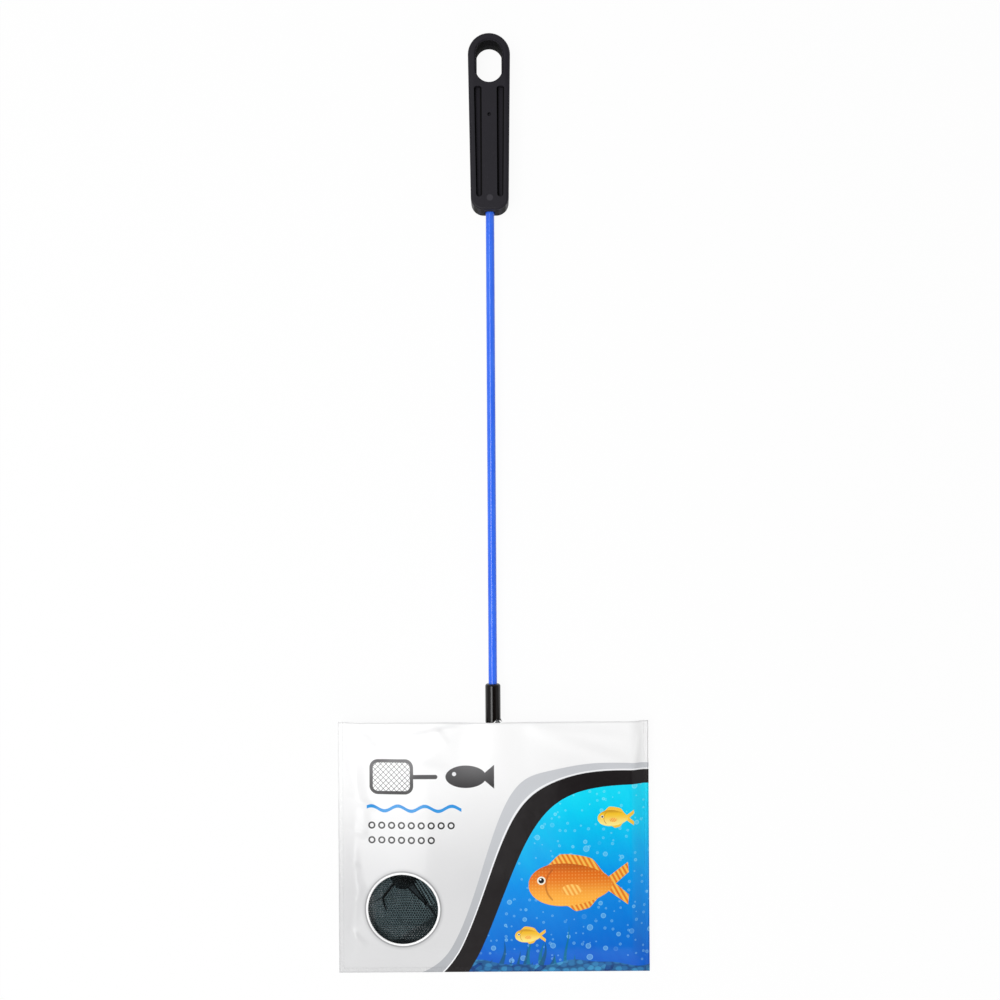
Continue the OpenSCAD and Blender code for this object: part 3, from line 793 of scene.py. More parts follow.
def water(film, u, v):
    """Water that is bright at the top and deep below, with light, bubbles, grass and pebbles."""
    blues = (srgb(0, 84, 196), srgb(0, 144, 230), srgb(0, 206, 244), srgb(26, 232, 250))
    ramp = {"stops": list(zip((0.0, 0.45, 0.78, 1.0), blues))}
    slant = film.add("ShaderNodeCombineXYZ", {}, {0: (u + v * 0.55) * 0.11, 1: v * 0.012, 2: 0.0})
    rays = film.add("ShaderNodeTexNoise", {}, {"Vector": slant, "Scale": 1.0, "Detail": 3.0})
    depth = v / 92 + (rays - 0.5) * 0.16 + (film.noise(16.0, detail=4.0) - 0.5) * 0.12
    colour = film.add("ShaderNodeValToRGB", ramp, {0: depth})
    for size, share in ((7.0, 0.5), (3.4, 0.4)):
        gap, chance, width = film.cells(u / size, v / size, size)
        chosen = fade(chance, 0.55, 0.6)
        radius = width * 0.12 + 0.06
        spot = fade(gap - radius, 0.05, -0.05) * 0.4 + fade(abs(gap - radius), 0.04, 0.0) * 0.6
        colour = over(colour, spot * chosen * share, srgb(170, 244, 252))
    grass = ((5.2, 22.0, srgb(0, 112, 138)), (3.7, 15.0, srgb(6, 84, 120)))
    for row, (pitch, tall, tone) in enumerate(grass):
        sway = sine(v * 0.24 + row * 2.0) * 1.1 + sine(u * 0.31) * 0.8
        cell = (u + sway) / pitch
        near = abs(cell.math("FRACT") - 0.5) * pitch
        height = sine(cell.math("FLOOR") * 2.4) * 0.35 + 0.65
        blade = near - (1 - v / (height * tall)) * 1.2
        patch = fade(sine(u * 0.09 - 0.6 + row), -0.1, 0.5)
        colour = over(colour, inside(most(blade, v - height * tall)) * fade(patch, 0.3, 0.6) * 0.85, tone)
    gap, chance, _ = film.cells(u / 3.4, v / 2.4)
    stone = blend_colours(chance, srgb(10, 70, 140), srgb(60, 150, 200))
    stone = over(stone, fade(gap, 0.3, 0.62) * 0.6, srgb(4, 40, 100))
    bank = 4.2 + sine(u * 0.13) * 1.3 + sine(u * 0.31 + 1.0) * 0.5
    return over(colour, inside(v - bank, 0.2), stone)


def signs(colour, u, v):
    """Small signs at the upper left: a net, a fish, a wave and two rows of bubbles."""
    ink = blend_colours(fade(v, 79.0, 97.0), srgb(30, 28, 29), srgb(104, 103, 105))
    frame_x = most(abs(u - 24) - 6.0, 0.0)
    frame_y = most(abs(v - 88) - 4.0, 0.0)
    rim = hypot(frame_x, frame_y) - 3.0
    slants = [abs((place / 2.4).math("FRACT") - 0.5) for place in (u + v, u - v)]
    threads = most(*(fade(slant, 0.4, 0.46) for slant in slants)) * inside(rim)
    colour = over(colour, most(threads, inside(abs(rim) - 0.75)), ink)
    colour = over(colour, inside(bar(u, v, (33.6, 88), (43.5, 88), 0.95)), ink)
    x = u - 57
    shape = hypot(x / 9.0, (v - 88) / 4.9) - 1
    tail = most(abs(v - 88) - 0.6 - most(x - 7, 0.0) * 0.85, most(x - 12.5, 6 - x))
    colour = over(colour, inside(least(shape * 4.5, tail)), ink)
    colour = over(colour, inside(hypot(x + 5.2, v - 89.2) - 0.9), srgb(238, 239, 241))
    wave = abs(v - 74 - sine(u / 1.9) * 1.1) - 0.75
    colour = over(colour, inside(most(wave, abs(u - 34) - 21.0)), srgb(30, 146, 220))
    for height, radius, end in ((66.5, 1.25, 52.6), (60.0, 1.25, 43.8)):
        step = ((u - 13) / 4.4).math("FRACT") * 4.4 - 2.2
        ring = abs(hypot(step, v - height) - radius) - 0.36
        in_row = abs(u - (13 + end) / 2) - (end - 13) / 2
        colour = over(colour, inside(most(ring, in_row)), srgb(40, 38, 39))
    return colour


print("picture parts ready")

# %% Printed film


def from_window(finish):
    """Distance from the middle of the window in millimetres."""
    return hypot(finish.x - WINDOW[0] / mm, finish.y - WINDOW[1] / mm)


def seal(side, end):
    """1 in the heat seal, for distances in millimetres from the film's sides and from its end."""
    return 1 - fade(least(side, end), SEAL_W / mm - 0.2, SEAL_W / mm + 0.1)


film = Finish("printed_film", Roughness=0.3, Specular_IOR_Level=0.3)
u = film.x + BAG_X / mm
v = film.y - BAG_END / mm
WAVE_H = 104
WAVE_X = 72
WAVE_RUN = 10
WAVE_DROP = 20
wave = WAVE_H / (1 + ((WAVE_X - u) / WAVE_RUN).math("EXPONENT"))
slope = wave * (1 - wave / WAVE_H) / WAVE_RUN
edge = (v - (wave - WAVE_DROP)) / root(slope * slope + 1)
black_w = 12 - u * 0.043
grey_w = 7 - u * 0.029
paleness = fade(v - u * 0.1, 30.0, 98.0) * 0.85 + film.noise(30.0, detail=2.0) * 0.15
white = blend_colours(paleness, srgb(211, 211, 212), srgb(252, 252, 252))
art = signs(white, u, v)
# Along the wave's edge, from above: a grey band, a white hair line, a black band and the water
grey = blend_colours(fade(v, 0.0, 90.0), srgb(176, 178, 182), srgb(200, 202, 206))
art = over(art, inside(edge - black_w - grey_w), grey)
art = over(art, inside(edge - black_w - 0.7), srgb(240, 241, 243))
art = over(art, inside(edge - black_w), srgb(27, 23, 24))
sea = water(film, u, v)
sea = plain_fish(sea, u, v, (103.0, 40.0), 0.98, srgb(226, 112, 26), srgb(252, 176, 66))
sea = plain_fish(sea, u, v, (122.0, 69.0), 0.36, srgb(244, 196, 40), srgb(252, 232, 140))
sea = plain_fish(sea, u, v, (84.0, 17.0), 0.3, srgb(240, 186, 40), srgb(252, 228, 130))
art = over(art, inside(edge), sea)
# Round the window: a soft grey shade, a darker line in it, and a white ring
outward = from_window(film)
art = over(art, fade(outward, 18.7, 16.6) * 0.34, srgb(128, 128, 130))
art = over(art, fade(abs(outward - 16.75), 0.55, 0.1) * 0.5, srgb(104, 104, 106))
art = over(art, inside(outward - 16.4), srgb(252, 252, 252))

in_seal = seal(least(u, BAG_X * 2 / mm - u), v)
ribs = sine(most(u * in_seal, v * in_seal) * 8.5) * 0.5 + 0.5
skin = film.noise(2.2, detail=3.0)
creases = film.noise(11.0, detail=3.0, stretch=(1, 0.6, 1))
printed_film = film.feed(
    Base_Color=art,
    Roughness=0.26 + skin * 0.1 + in_seal * 0.12,
    Coat_Weight=0.06 + creases * 0.08,
    Normal=film.bump(ribs * in_seal * 0.5 + skin * 0.12 + creases * 0.9, 0.22, 0.7),
)
place("film_front", front_mesh, printed_film, "bag", "printed_film", "bag_front")
print("front film placed; nodes in the print:", len(film.tree.nodes))

# %% [markdown]
# ## Clear patch and plain back
# The patch is nearly invisible: a little haze, and more of it where the glue holds its rim. It is
# done with Alpha, because glass that thin would only bend the view and cost time. The back is
# white film of the same kind, with the heat seal's small ribs and a soft pearl sheen.

# %% Clear patch and plain back
clear = Finish("clear_film", Base_Color=(*srgb(96, 104, 108), 1), Alpha=0.1, Specular_IOR_Level=0.5)
haze = clear.noise(6.0, detail=4.0)
rim_glue = fade(from_window(clear), 15.2, 15.9)
clear_film = clear.feed(
    Roughness=0.1 + haze * 0.1,
    Alpha=0.004 + haze * 0.02 + rim_glue * 0.2,
    Normal=clear.bump(haze, 0.3, 0.7),
)

plain = Finish("back_film", Roughness=0.32)
pearl = plain.noise(18.0, detail=3.0)
back_side = least(plain.x + BAG_X / mm, BAG_X / mm - plain.x)
back_seal = seal(back_side, plain.y - BAG_END / mm)
back_ribs = sine((plain.x + plain.y) * 6.0) * 0.5 + 0.5
back_film = plain.feed(
    Base_Color=blend_colours(pearl, srgb(228, 230, 233), srgb(238, 239, 241)),
    Roughness=0.28 + pearl * 0.12 + back_seal * 0.1,
    Normal=plain.bump(pearl * 0.5 + back_ribs * back_seal * 0.4 + plain.noise(2.4) * 0.1, 0.25, 0.7),
)

place("film_window", window_mesh, clear_film, "bag", "clear_film", "bag_window")
place("film_back", back_mesh, back_film, "bag", "back_film", "bag_back")
print("clear patch and back film placed")

# %% [markdown]
# ## Knitted netting with Geometry Nodes
# The pocket is soft nylon netting with six-sided holes about a millimetre wide. Nobody wants to
# place ten thousand holes by hand, so a small node tree knits a flat piece: a grid whose every
# second row is shifted by half a hole, split into even triangles, and then turned inside out by
# Dual Mesh, which puts a six-sided hole round every grid point. Each edge becomes a thin strand,
# and the input Flat presses the strands flat, as netting that lies folded is.
#
# A recipe below is such a tree with named inputs. It is run once, and the result is kept as a
# plain mesh.

# %% Recipes


class Recipe(Graph):
    """A Geometry Nodes tree with named inputs that is run once to give a plain mesh."""

    def __init__(self, name, **kinds):
        super().__init__(bpy.data.node_groups.new(name, "GeometryNodeTree"))
        face = self.tree.interface
        face.new_socket("Start", in_out="INPUT", socket_type="NodeSocketGeometry")
        face.new_socket("Result", in_out="OUTPUT", socket_type="NodeSocketGeometry")
        self.keys = {
            label: face.new_socket(label, in_out="INPUT", socket_type="NodeSocket" + kind).identifier
            for label, kind in kinds.items()
        }
        self.inputs = self.tree.nodes.new("NodeGroupInput")

    def given(self, label):
        return Val(self, next(s for s in self.inputs.outputs if s.name == label))

    def tube(self, curve, sides, radius):
        """A round tube of a radius along a curve, open at its ends."""
        outline = self.add("GeometryNodeCurvePrimitiveCircle", {}, {"Resolution": sides, "Radius": radius})
        return self.add("GeometryNodeCurveToMesh", {}, {"Curve": curve, "Profile Curve": outline})

    def result(self, geometry):
        real = self.add("GeometryNodeRealizeInstances", {}, {0: geometry})
        sockets = {"Geometry": real, "Material": self.given("Material")}
        dressed = self.add("GeometryNodeSetMaterial", {}, sockets)
        end = self.tree.nodes.new("NodeGroupOutput")
        self.tree.links.new(dressed.socket, end.inputs[0])

    def run(self, name, start=None, **values):
        holder = add_object(name, start or bpy.data.meshes.new(name))
        step = holder.modifiers.new(name, "NODES")
        step.node_group = self.tree
        for label, value in values.items():
            step[self.keys[label]] = value
        bpy.context.view_layer.update()
        seen = bpy.context.evaluated_depsgraph_get()
        mesh = bpy.data.meshes.new_from_object(
            holder.evaluated_get(seen), preserve_all_data_layers=True, depsgraph=seen
        )
        bpy.data.objects.remove(holder)
        return mesh


sizes = dict.fromkeys(("Width", "Length", "Pitch", "Strand", "Flat"), "Float")
knit = Recipe("knit", **sizes, Material="Material")
pitch = knit.given("Pitch")
row = pitch * math.sqrt(0.75)
columns = (knit.given("Width") / pitch).math("CEIL") + 1
rows = (knit.given("Length") / row).math("CEIL") + 1
size_y = (rows - 1) * row
ground = knit.add("GeometryNodeMeshGrid", {}, {
    "Size X": (columns - 1) * pitch, "Size Y": size_y, "Vertices X": columns, "Vertices Y": rows,
}, "Mesh")
spot = knit.add("ShaderNodeSeparateXYZ", {}, {0: knit.add("GeometryNodeInputPosition")}, None)
level = ((Val(knit, spot.outputs[1]) + size_y / 2) / row).math("ROUND")
shift = knit.add("ShaderNodeCombineXYZ", {}, {0: (level.math("MODULO", 2.0) - 0.5) * pitch / 2})
ground = knit.add("GeometryNodeSetPosition", {}, {"Geometry": ground, "Offset": shift})
ground = knit.add("GeometryNodeTriangulate", {}, {0: ground})
ground = knit.add("GeometryNodeDualMesh", {}, {0: ground})
strands = knit.add("GeometryNodeMeshToCurve", {}, {0: ground})
strands = knit.tube(strands, 3, knit.given("Strand"))
squash = knit.add("ShaderNodeCombineXYZ", {}, {0: 1.0, 1: 1.0, 2: knit.given("Flat")})
strands = knit.add("GeometryNodeTransform", {}, {"Geometry": strands, "Scale": squash})
knit.result(strands)
print("knitting recipe:", len(knit.tree.nodes), "nodes")

# %% [markdown]
# ## Netting, thread and tape finishes
# The netting is slate grey nylon. An attribute named gathered, made with the folds below, darkens
# it: a little for the drawn-in strands near each corner, more past the seam and in the window's low
# corner, and as painted shade in its creases, between its pleats and all over the two hidden layers.
# The hem's tape is a black woven ribbon; its weave comes from its own UV map, in millimetres along
# and across the tape. The sewing thread gets the same kind of woven finish.

# %% Cloth finishes
nylon = Finish("netting", Roughness=0.62, Specular_IOR_Level=0.14)
gathered_and_shade = nylon.add("ShaderNodeAttribute", {"attribute_name": "gathered"}, out="Fac")
wear = nylon.noise(5.0, detail=3.0)
slate = blend_colours(wear, srgb(84, 101, 105), srgb(94, 113, 117))
netting_finish = nylon.feed(
    # Darkening from the gathered attribute, partly painted shade, towards near black
    Base_Color=blend_colours(gathered_and_shade, slate, srgb(7, 10, 11)),
    Roughness=0.5 + wear * 0.25,
    Normal=nylon.bump(nylon.noise(0.25, detail=2.0), 0.05, 0.6),
)


def woven(name, dark, light, rough, thread=0.42, gloss=0.12, bite=1.0):
    """Woven or knitted cloth with a thread's width in millimetres. More bite leaves more of it dark."""
    cloth = Finish(name, Roughness=rough, Specular_IOR_Level=gloss)
    uv_map = cloth.add("ShaderNodeUVMap", {"uv_map": "UVMap"})
    split = cloth.add("ShaderNodeSeparateXYZ", {}, {0: uv_map}, None)
    along, across = Val(cloth, split.outputs[0]), Val(cloth, split.outputs[1])
    turn = 2 * math.pi / thread
    weave = sine(along * turn) * sine(across * turn) * 0.5 + 0.5
    ribs = sine(across * turn * 0.5) * 0.5 + 0.5
    worn = cloth.noise(3.5, detail=4.0)
    shade = (weave * 0.55 + worn * 0.45) ** bite
    return cloth.feed(
        Base_Color=blend_colours(shade, dark, light),
        Roughness=rough + worn * 0.2 - weave * 0.12,
        Normal=cloth.bump(weave * 0.8 + ribs * 0.3, 0.09, 0.9),
    )


tape_finish = woven("hem_tape", srgb(19, 23, 25), srgb(42, 49, 52), 0.7, gloss=0.05)
thread_finish = woven("sewing_thread", srgb(15, 16, 19), srgb(40, 42, 47), 0.55, thread=0.5)
# Darker copies of the netting's slate: the knot and the folds are near black as painted shade
pleat_finish = woven(
    "gathered_netting", srgb(0, 0, 0), srgb(52, 63, 66), 0.8, thread=1.1, gloss=0.0, bite=3.6
)
fold_finish = woven("folded_netting", srgb(0, 1, 1), srgb(5, 7, 8), 0.7, thread=0.6, gloss=0.02)
# The seam is darker for its doubled netting and for painted shade
seam_finish = woven("seam_netting", srgb(14, 19, 20), srgb(48, 58, 61), 0.7, thread=0.9, gloss=0.02)
# A lighter copy of the netting's slate: a painted highlight on the stretched zigzag strands
row_finish = woven(
    "stretched_netting", srgb(86, 104, 108), srgb(122, 142, 146), 0.6, thread=0.9, gloss=0.05
)
print("cloth finishes ready")

# %% [markdown]
# ## The pocket, folded flat
# In the shop the pocket is folded into the hoop like a Z: one layer from bar to bar, a second
# layer part of the way back, and a third on the way down again. The flat netting is cut in three
# where the folds turn, so that no piece grows too heavy. Then every point is carried along the
# folded path: y becomes a distance along the Z, and z a height off the cloth. A cloth simulation
# could fold it too, but netting this fine has too many strands for one, and the path is known.

# %% The folded path
INSIDE_TAPE = 2.35 * mm
TURN_R = PLY_STEP / 2
HIGH = HOOP_TOP - INSIDE_TAPE
LOW = HOOP_END + 2.75 * mm
SECOND_HIGH = LOW + 0.62 * (HIGH - LOW)
THIRD_LOW = SECOND_HIGH - 0.56 * (HIGH - LOW)
HALF_TURN = math.pi * TURN_R
LENGTHS = (HIGH - LOW, HALF_TURN, SECOND_HIGH - LOW, HALF_TURN, SECOND_HIGH - THIRD_LOW)
STOPS = np.cumsum((0,) + LENGTHS)
# Half the folded cloth's width in millimetres at each stop of the path
HALF_WIDTHS = (59.05, 59.05, 53, 56.05, 50.05, 50.05)
CLOTH = (2 * HALF_WIDTHS[0] * mm, float(STOPS[-1]))


def corner_half_width(y):
    """How far the cloth reaches sideways inside the hoop's round corners."""
    straight, corner_r = HOOP_X - HOOP_CORNER, HOOP_CORNER - INSIDE_TAPE
    past = np.maximum(np.maximum(y - (HOOP_TOP - HOOP_CORNER), (HOOP_END + HOOP_CORNER) - y), 0)
    return straight + np.sqrt(np.maximum(corner_r**2 - past**2, 0))


def folded(t):
    """Place along the net, height, and the cloth's normal, at a distance t along the folded path."""
    leg = np.clip(np.searchsorted(STOPS, t, side="right") - 1, 0, 4)
    part = t - STOPS[leg]
    lean, level = np.sin(part / TURN_R), np.cos(part / TURN_R)
    first, second, third = (PLY_Z - PLY_STEP * number for number in range(3))
    zero, one = np.zeros_like(t), np.ones_like(t)
    turn_y, turn_z = TURN_R * lean, TURN_R * (level - 1)
    y = np.choose(leg, [HIGH - part, LOW - turn_y, LOW + part, SECOND_HIGH + turn_y, SECOND_HIGH - part])
    z = np.choose(leg, [first * one, first + turn_z, second * one, second + turn_z, third * one])
    ny = np.choose(leg, [zero, -lean, zero, -lean, zero])
    nz = np.choose(leg, [one, level, -one, -level, one])
    width = np.interp(t, STOPS, HALF_WIDTHS) * mm
    return y, z, ny, nz, np.minimum(width, corner_half_width(y) - 0.2 * mm)


print("stops of the folded path in mm:", np.round(STOPS / mm, 1))

# %% [markdown]
# ## The layer in the window
# The first layer is what the window shows. Near each gathered corner it is drawn in, which makes
# its holes small and dark, and short pleats and creases stand up from it, as in the photograph. Its
# creases and the valleys between its pleats also get painted shade.
# All of this is worked out from flat places, so the second corner only needs the sign of x turned.

# %% Shape the first layer
# Creases of the first layer in the window: two places in millimetres, a width and a strength
CREASES = [
    ((-44.0, -168.0), (-49.7, -175.1), 0.6, 0.9), ((-49.7, -175.1), (-48.3, -180.6), 0.6, 0.9),
    ((-49.7, -175.1), (-55.7, -178.0), 0.5, 0.25), ((-47.2, -172.0), (-45.0, -177.0), 1.2, 0.4),
    ((-41.8, -194.4), (-25.0, -183.0), 0.9, 1.1), ((-38.5, -186.5), (-29.0, -190.5), 0.5, 0.6),
    ((-43.0, -184.0), (-39.0, -189.0), 0.4, 0.5),
]
# Two lines in the window, each a place in millimetres and the heading away from the line: the far
# side of the seam, and the corner of the window where more folds lie under the first layer
PAST_SEAM = ((-36.5, -170.5), (0.818, 0.576))
PAST_LOW_FOLD = ((-34.25, -188.4), (0.633, -0.774))


def near_line(x, y, start, end):
    """Distance from a line between two places."""
    ax, ay = start[0] * mm, start[1] * mm
    dx, dy = end[0] * mm - ax, end[1] * mm - ay
    along = np.clip(((x - ax) * dx + (y - ay) * dy) / (dx * dx + dy * dy), 0, 1)
    return np.hypot(x - ax - along * dx, y - ay - along * dy)


def past_line(x, y, spot, heading):
    """Distance past the line that runs through a place, square to a heading."""
    return (x - spot[0] * mm) * heading[0] + (y - spot[1] * mm) * heading[1]


def shape_first_layer(x, y):
    """Draws the first layer in to its corners. Returns the new x and y, a lift and a darkness, partly
    painted shade.
    """
    lift = 0.10 * mm * np.sin(x / (3.1 * mm) + 1.7 * np.sin(y / (6.3 * mm))) * np.sin(y / (4.3 * mm))
    dark = np.zeros_like(x)
    for flip in (-1, 1):
        gx, gy = flip * GATHER[0], GATHER[1]
        away = np.hypot(x - gx, y - gy)
        pull = 0.42 * bell(away / (9 * mm))
        x, y = x + (gx - x) * pull, y + (gy - y) * pull
        around = np.arctan2(y - gy, (x - gx) * flip)
        fan = 0.5 + 0.5 * np.cos(around * 14 + 1.5 * np.sin(around * 3))
        reach = bell(away / (11 * mm))
        lift = lift + 0.4 * mm * fan * reach * smooth(away / (4 * mm))
        # Darker near the corner: a little for the drawn-in strands, and painted shade between the pleats
        dark = np.maximum(dark, (0.05 + 0.2 * (1 - fan)) * bell(away / (8 * mm)))
        for start, end, width, strength in CREASES:
            if flip > 0:
                start, end = (-start[0], start[1]), (-end[0], end[1])
            off = near_line(x, y, start, end)
            ridge = bell(off / (width * mm))
            lift = lift + strength * 0.62 * mm * ridge
            # Painted shade along each crease
            dark = np.maximum(dark, min(1, strength * 0.72) * bell(off / (width * 1.15 * mm)))
        off = past_line(x * -flip, y, *PAST_SEAM)
        patch = smooth((12 * mm - off) / (3 * mm)) * smooth((off - 0.4 * mm) / (1 * mm))
        dark = np.maximum(dark, 0.85 * patch * bell(away / (20 * mm)))
        beyond = past_line(x * -flip, y, *PAST_LOW_FOLD)
        dark = np.maximum(dark, 0.65 * smooth(beyond / (1.2 * mm)) * smooth((32 * mm - away) / (8 * mm)))
    return x, y, np.minimum(lift, 1.5 * mm), dark


print("creases beside each gathered corner:", len(CREASES))

# %% [markdown]
# ## Three layers
# The two hidden layers show through the holes of the first. Their strands are wider and flatter,
# and each layer is shifted along the cloth by a third of a row from the one above. So the strands
# below sit in the holes above all over the window, and no coarse pattern comes up between the
# layers.

# %% Fold the netting
PITCH = 1.12 * mm
ROW = PITCH * math.sqrt(0.75)
EDGE_ROOM = 8 * mm
# Painted shade on the two hidden layers, which lie under the first
HIDDEN_SHADE = 0.62


def fold_netting(mesh, first):
    """Carries a flat knitted mesh onto the folded path, from a place on it.

    Only the outer EDGE_ROOM of a narrower layer is squeezed, so the holes elsewhere stay in line.
    """
    count = len(mesh.vertices)
    co = np.empty(count * 3, dtype=np.float32)
    mesh.vertices.foreach_get("co", co)
    co = co.reshape(-1, 3).astype(float)
    t = np.clip(first + (co[:, 1].max() - co[:, 1]), 0, STOPS[-1])
    y, z, ny, nz, width = folded(t)
    x = co[:, 0] / np.abs(co[:, 0]).max() * HALF_WIDTHS[0] * mm
    past = np.abs(x) - (width - EDGE_ROOM)
    squeezed = past * EDGE_ROOM / (HALF_WIDTHS[0] * mm - width + EDGE_ROOM)
    x = np.where(past > 0, np.sign(x) * (width - EDGE_ROOM + squeezed), x)
    y, z = y + ny * co[:, 2], z + nz * co[:, 2]
    dark = np.zeros(count)
    top = t < STOPS[1]
    x[top], y[top], lift, dark[top] = shape_first_layer(x[top], y[top])
    edge = np.minimum(corner_half_width(y[top]) - np.abs(x[top]), np.minimum(HIGH - y[top], y[top] - LOW))
    z[top] += lift * smooth((edge - 4.5 * mm) / (2 * mm))
    # Painted shade: the hidden layers are darker all over
    dark = np.where(top, dark, HIDDEN_SHADE)
    mesh.vertices.foreach_set("co", np.column_stack([x, y, z]).astype(np.float32).ravel())
    layer = mesh.attributes.new("gathered", "FLOAT", "POINT")
    layer.data.foreach_set("value", dark.astype(np.float32))
    mesh.polygons.foreach_set("use_smooth", np.ones(len(mesh.polygons), dtype=bool))
    mesh.update()
    return mesh


def knit_layer(name, first, last, strand, flat, shift=0.0):
    """Knits the cloth between two stops of the path, and folds it into its place."""
    mesh = knit.run(name, Width=CLOTH[0], Length=float(STOPS[last] - STOPS[first]), Pitch=PITCH,
                    Strand=strand, Flat=flat, Material=netting_finish)
    return fold_netting(mesh, float(STOPS[first]) + shift)


second_shift = (HIGH - LOW + HALF_TURN + ROW * 2 / 3) % ROW
third_shift = (SECOND_HIGH + HALF_TURN - HIGH - ROW / 3) % ROW
layers = []
for name, *cut in (
    ("netting_front", 0, 1, 0.195 * mm, 0.5),
    ("netting_second", 1, 3, 0.27 * mm, 0.2, second_shift),
    ("netting_third", 3, 5, 0.27 * mm, 0.2, third_shift),
):
    layers.append(place(name, knit_layer(name, *cut), None, "net", "netting", "pocket_netting"))
    triangles = sum(len(p.vertices) - 2 for p in layers[-1].data.polygons)
    print(name, "has", triangles, "triangles")
print("first layer in mm from", round(LOW / mm, 1), "to", round(HIGH / mm, 1), "at z", round(PLY_Z / mm, 2))

# %% [markdown]
# ## Tape round the hoop
# A black tape is folded over the wire and sewn through both of its edges and the netting. Seen
# across, it is a round tube with a flat lip on its inner side. That outline is carried along the
# hoop's middle line, with a small pucker at every stitch.

# %% Along a path


def rounded_path(step):
    """The hoop's middle line from one end of the hem to the other, with a point at every step."""
    right, low, high = HOOP_X, HOOP_END, HOOP_TOP
    r = HOOP_CORNER
    legs = [((HEM_GAP, high), (right - r, high)), ((right, high - r), (right, low + r)),
            ((right - r, low), (-right + r, low)), ((-right, low + r), (-right, high - r)),
            ((-right + r, high), (-HEM_GAP, high))]
    centres = [(right - r, high - r), (right - r, low + r), (-right + r, low + r), (-right + r, high - r)]
    points = []
    for k, (a, b) in enumerate(legs):
        count = round(math.dist(a, b) / step)
        points += [np.array(a) + (np.array(b) - np.array(a)) * i / count for i in range(count + (k == 4))]
        if k < 4:
            turns = round(r * math.pi / 2 / step)
            angles = math.pi / 2 * (1 - k - np.arange(turns) / turns)
            points += list(np.array(centres[k]) + r * np.stack([np.cos(angles), np.sin(angles)], 1))
    return np.array(points)


def frame_along(points):
    """Length so far, and the direction to the right of travel, at every point of a flat path."""
    step = np.gradient(points, axis=0)
    step /= np.linalg.norm(step, axis=1)[:, None]
    length = np.concatenate([[0], np.cumsum(np.linalg.norm(np.diff(points, axis=0), axis=1))])
    return length, np.stack([step[:, 1], -step[:, 0]], 1)


def sweep(name, points, rights, lengths, across, up, base_z):
    """A tube through the outlines across[i], up[i] at each point, with a UV map in millimetres."""
    rows, cols = across.shape
    x, y = (points[:, i : i + 1] + rights[:, i : i + 1] * across for i in range(2))
    faces = grid_faces(rows, cols + 1)
    row, col = faces // (cols + 1), faces % (cols + 1)
    mesh = to_mesh(name, np.dstack([x, y, base_z + up]).reshape(-1, 3), row * cols + col % cols)
    round_it = np.append(0, np.cumsum(np.hypot(np.diff(across[2]), np.diff(up[2]))))
    round_it = np.append(round_it, round_it[-1] + 0.5 * mm)
    return add_uv(mesh, np.stack([lengths[row], round_it[col]], -1) / mm)


hoop_path = rounded_path(0.9 * mm)
hoop_length, hoop_inward = frame_along(hoop_path)
print("hem's length in mm:", round(float(hoop_length[-1]) / mm, 1))

# %% Hem tape
STITCH = 3.0 * mm
TURNED_IN = 0.82
along = hoop_length[:, None]
stitched = np.abs(np.sin(np.pi * along / STITCH))
tube_r = TUBE_R + 0.06 * mm * stitched
arc = np.radians(np.linspace(-8, 329, 30))[None, :]
lip = np.linspace(0.1, 1, 6)[None, :]
frayed = np.sin(along / (2.1 * mm) + 2 * np.sin(along / (5 * mm)))
lip_reach = TUBE_R + 0.1 * mm + LIP_W * lip + 0.12 * mm * lip * frayed
wave = 0.1 * mm * lip * np.sin(along / (1.7 * mm) + 1.3) + 0.05 * mm * stitched
lip_top, lip_low = -0.32 * mm + wave, -0.98 * mm + wave
tip = lip_reach[:, -1:] + 0.12 * mm
across = np.hstack([tube_r * np.cos(arc), lip_reach, tip, lip_reach[:, ::-1]])
up = np.hstack([tube_r * np.sin(arc), lip_low, (lip_low + lip_top)[:, -1:] / 2, lip_top[:, ::-1]])

# At both ends the tube turns back into itself, a little narrower, so that its cut edge is hidden.
pick = np.concatenate([[3, 0], np.arange(len(hoop_path)), [-1, -4]])
narrower = np.ones((len(pick), 1))
narrower[[0, 1, -2, -1]] = TURNED_IN
hem_mesh = sweep("hem_tape", hoop_path[pick], hoop_inward[pick], hoop_length[pick],
                 across[pick] * narrower, up[pick] * narrower, MID_Z)
hem_piece = place("hem_tape", hem_mesh, tape_finish, "net", "hem_tape", "hem")
print("hem:", len(hem_mesh.polygons), "faces")

# %% [markdown]
# ## Stitches and thread with Geometry Nodes
# One recipe lays a short raised stitch at even steps along a path: one row shows on each side of
# the hem's lip. A second one turns any path of points into smooth thread, which serves for the
# overlocked seams and for the windings round each gathered corner.

# %% Sewing recipes
sew = Recipe("sew", Spacing="Float", Stitch="Float", Radius="Float", Material="Material")
path = sew.add("GeometryNodeMeshToCurve", {}, {0: sew.given("Start")})
sockets = {"Curve": path, "Length": sew.given("Spacing")}
path = sew.add("GeometryNodeResampleCurve", {"mode": "LENGTH"}, sockets)
half_stitch = sew.given("Stitch") / 2
radius = sew.given("Radius")
start = sew.add("ShaderNodeCombineXYZ", {}, {0: -half_stitch, 1: 0.0, 2: -radius})
middle = sew.add("ShaderNodeCombineXYZ", {}, {0: 0.0, 1: 0.0, 2: radius * 2})
stop = sew.add("ShaderNodeCombineXYZ", {}, {0: half_stitch, 1: 0.0, 2: -radius})
sockets = {"Resolution": 4, "Start": start, "Middle": middle, "End": stop}
bow = sew.tube(sew.add("GeometryNodeCurveQuadraticBezier", {}, sockets), 5, radius)
tangent = sew.add("GeometryNodeInputTangent")
aligned = {"axis": "X", "pivot_axis": "Z"}
turned = sew.add("FunctionNodeAlignRotationToVector", aligned, {"Vector": tangent})
sockets = {"Points": path, "Instance": bow, "Rotation": turned}
sew.result(sew.add("GeometryNodeInstanceOnPoints", {}, sockets))

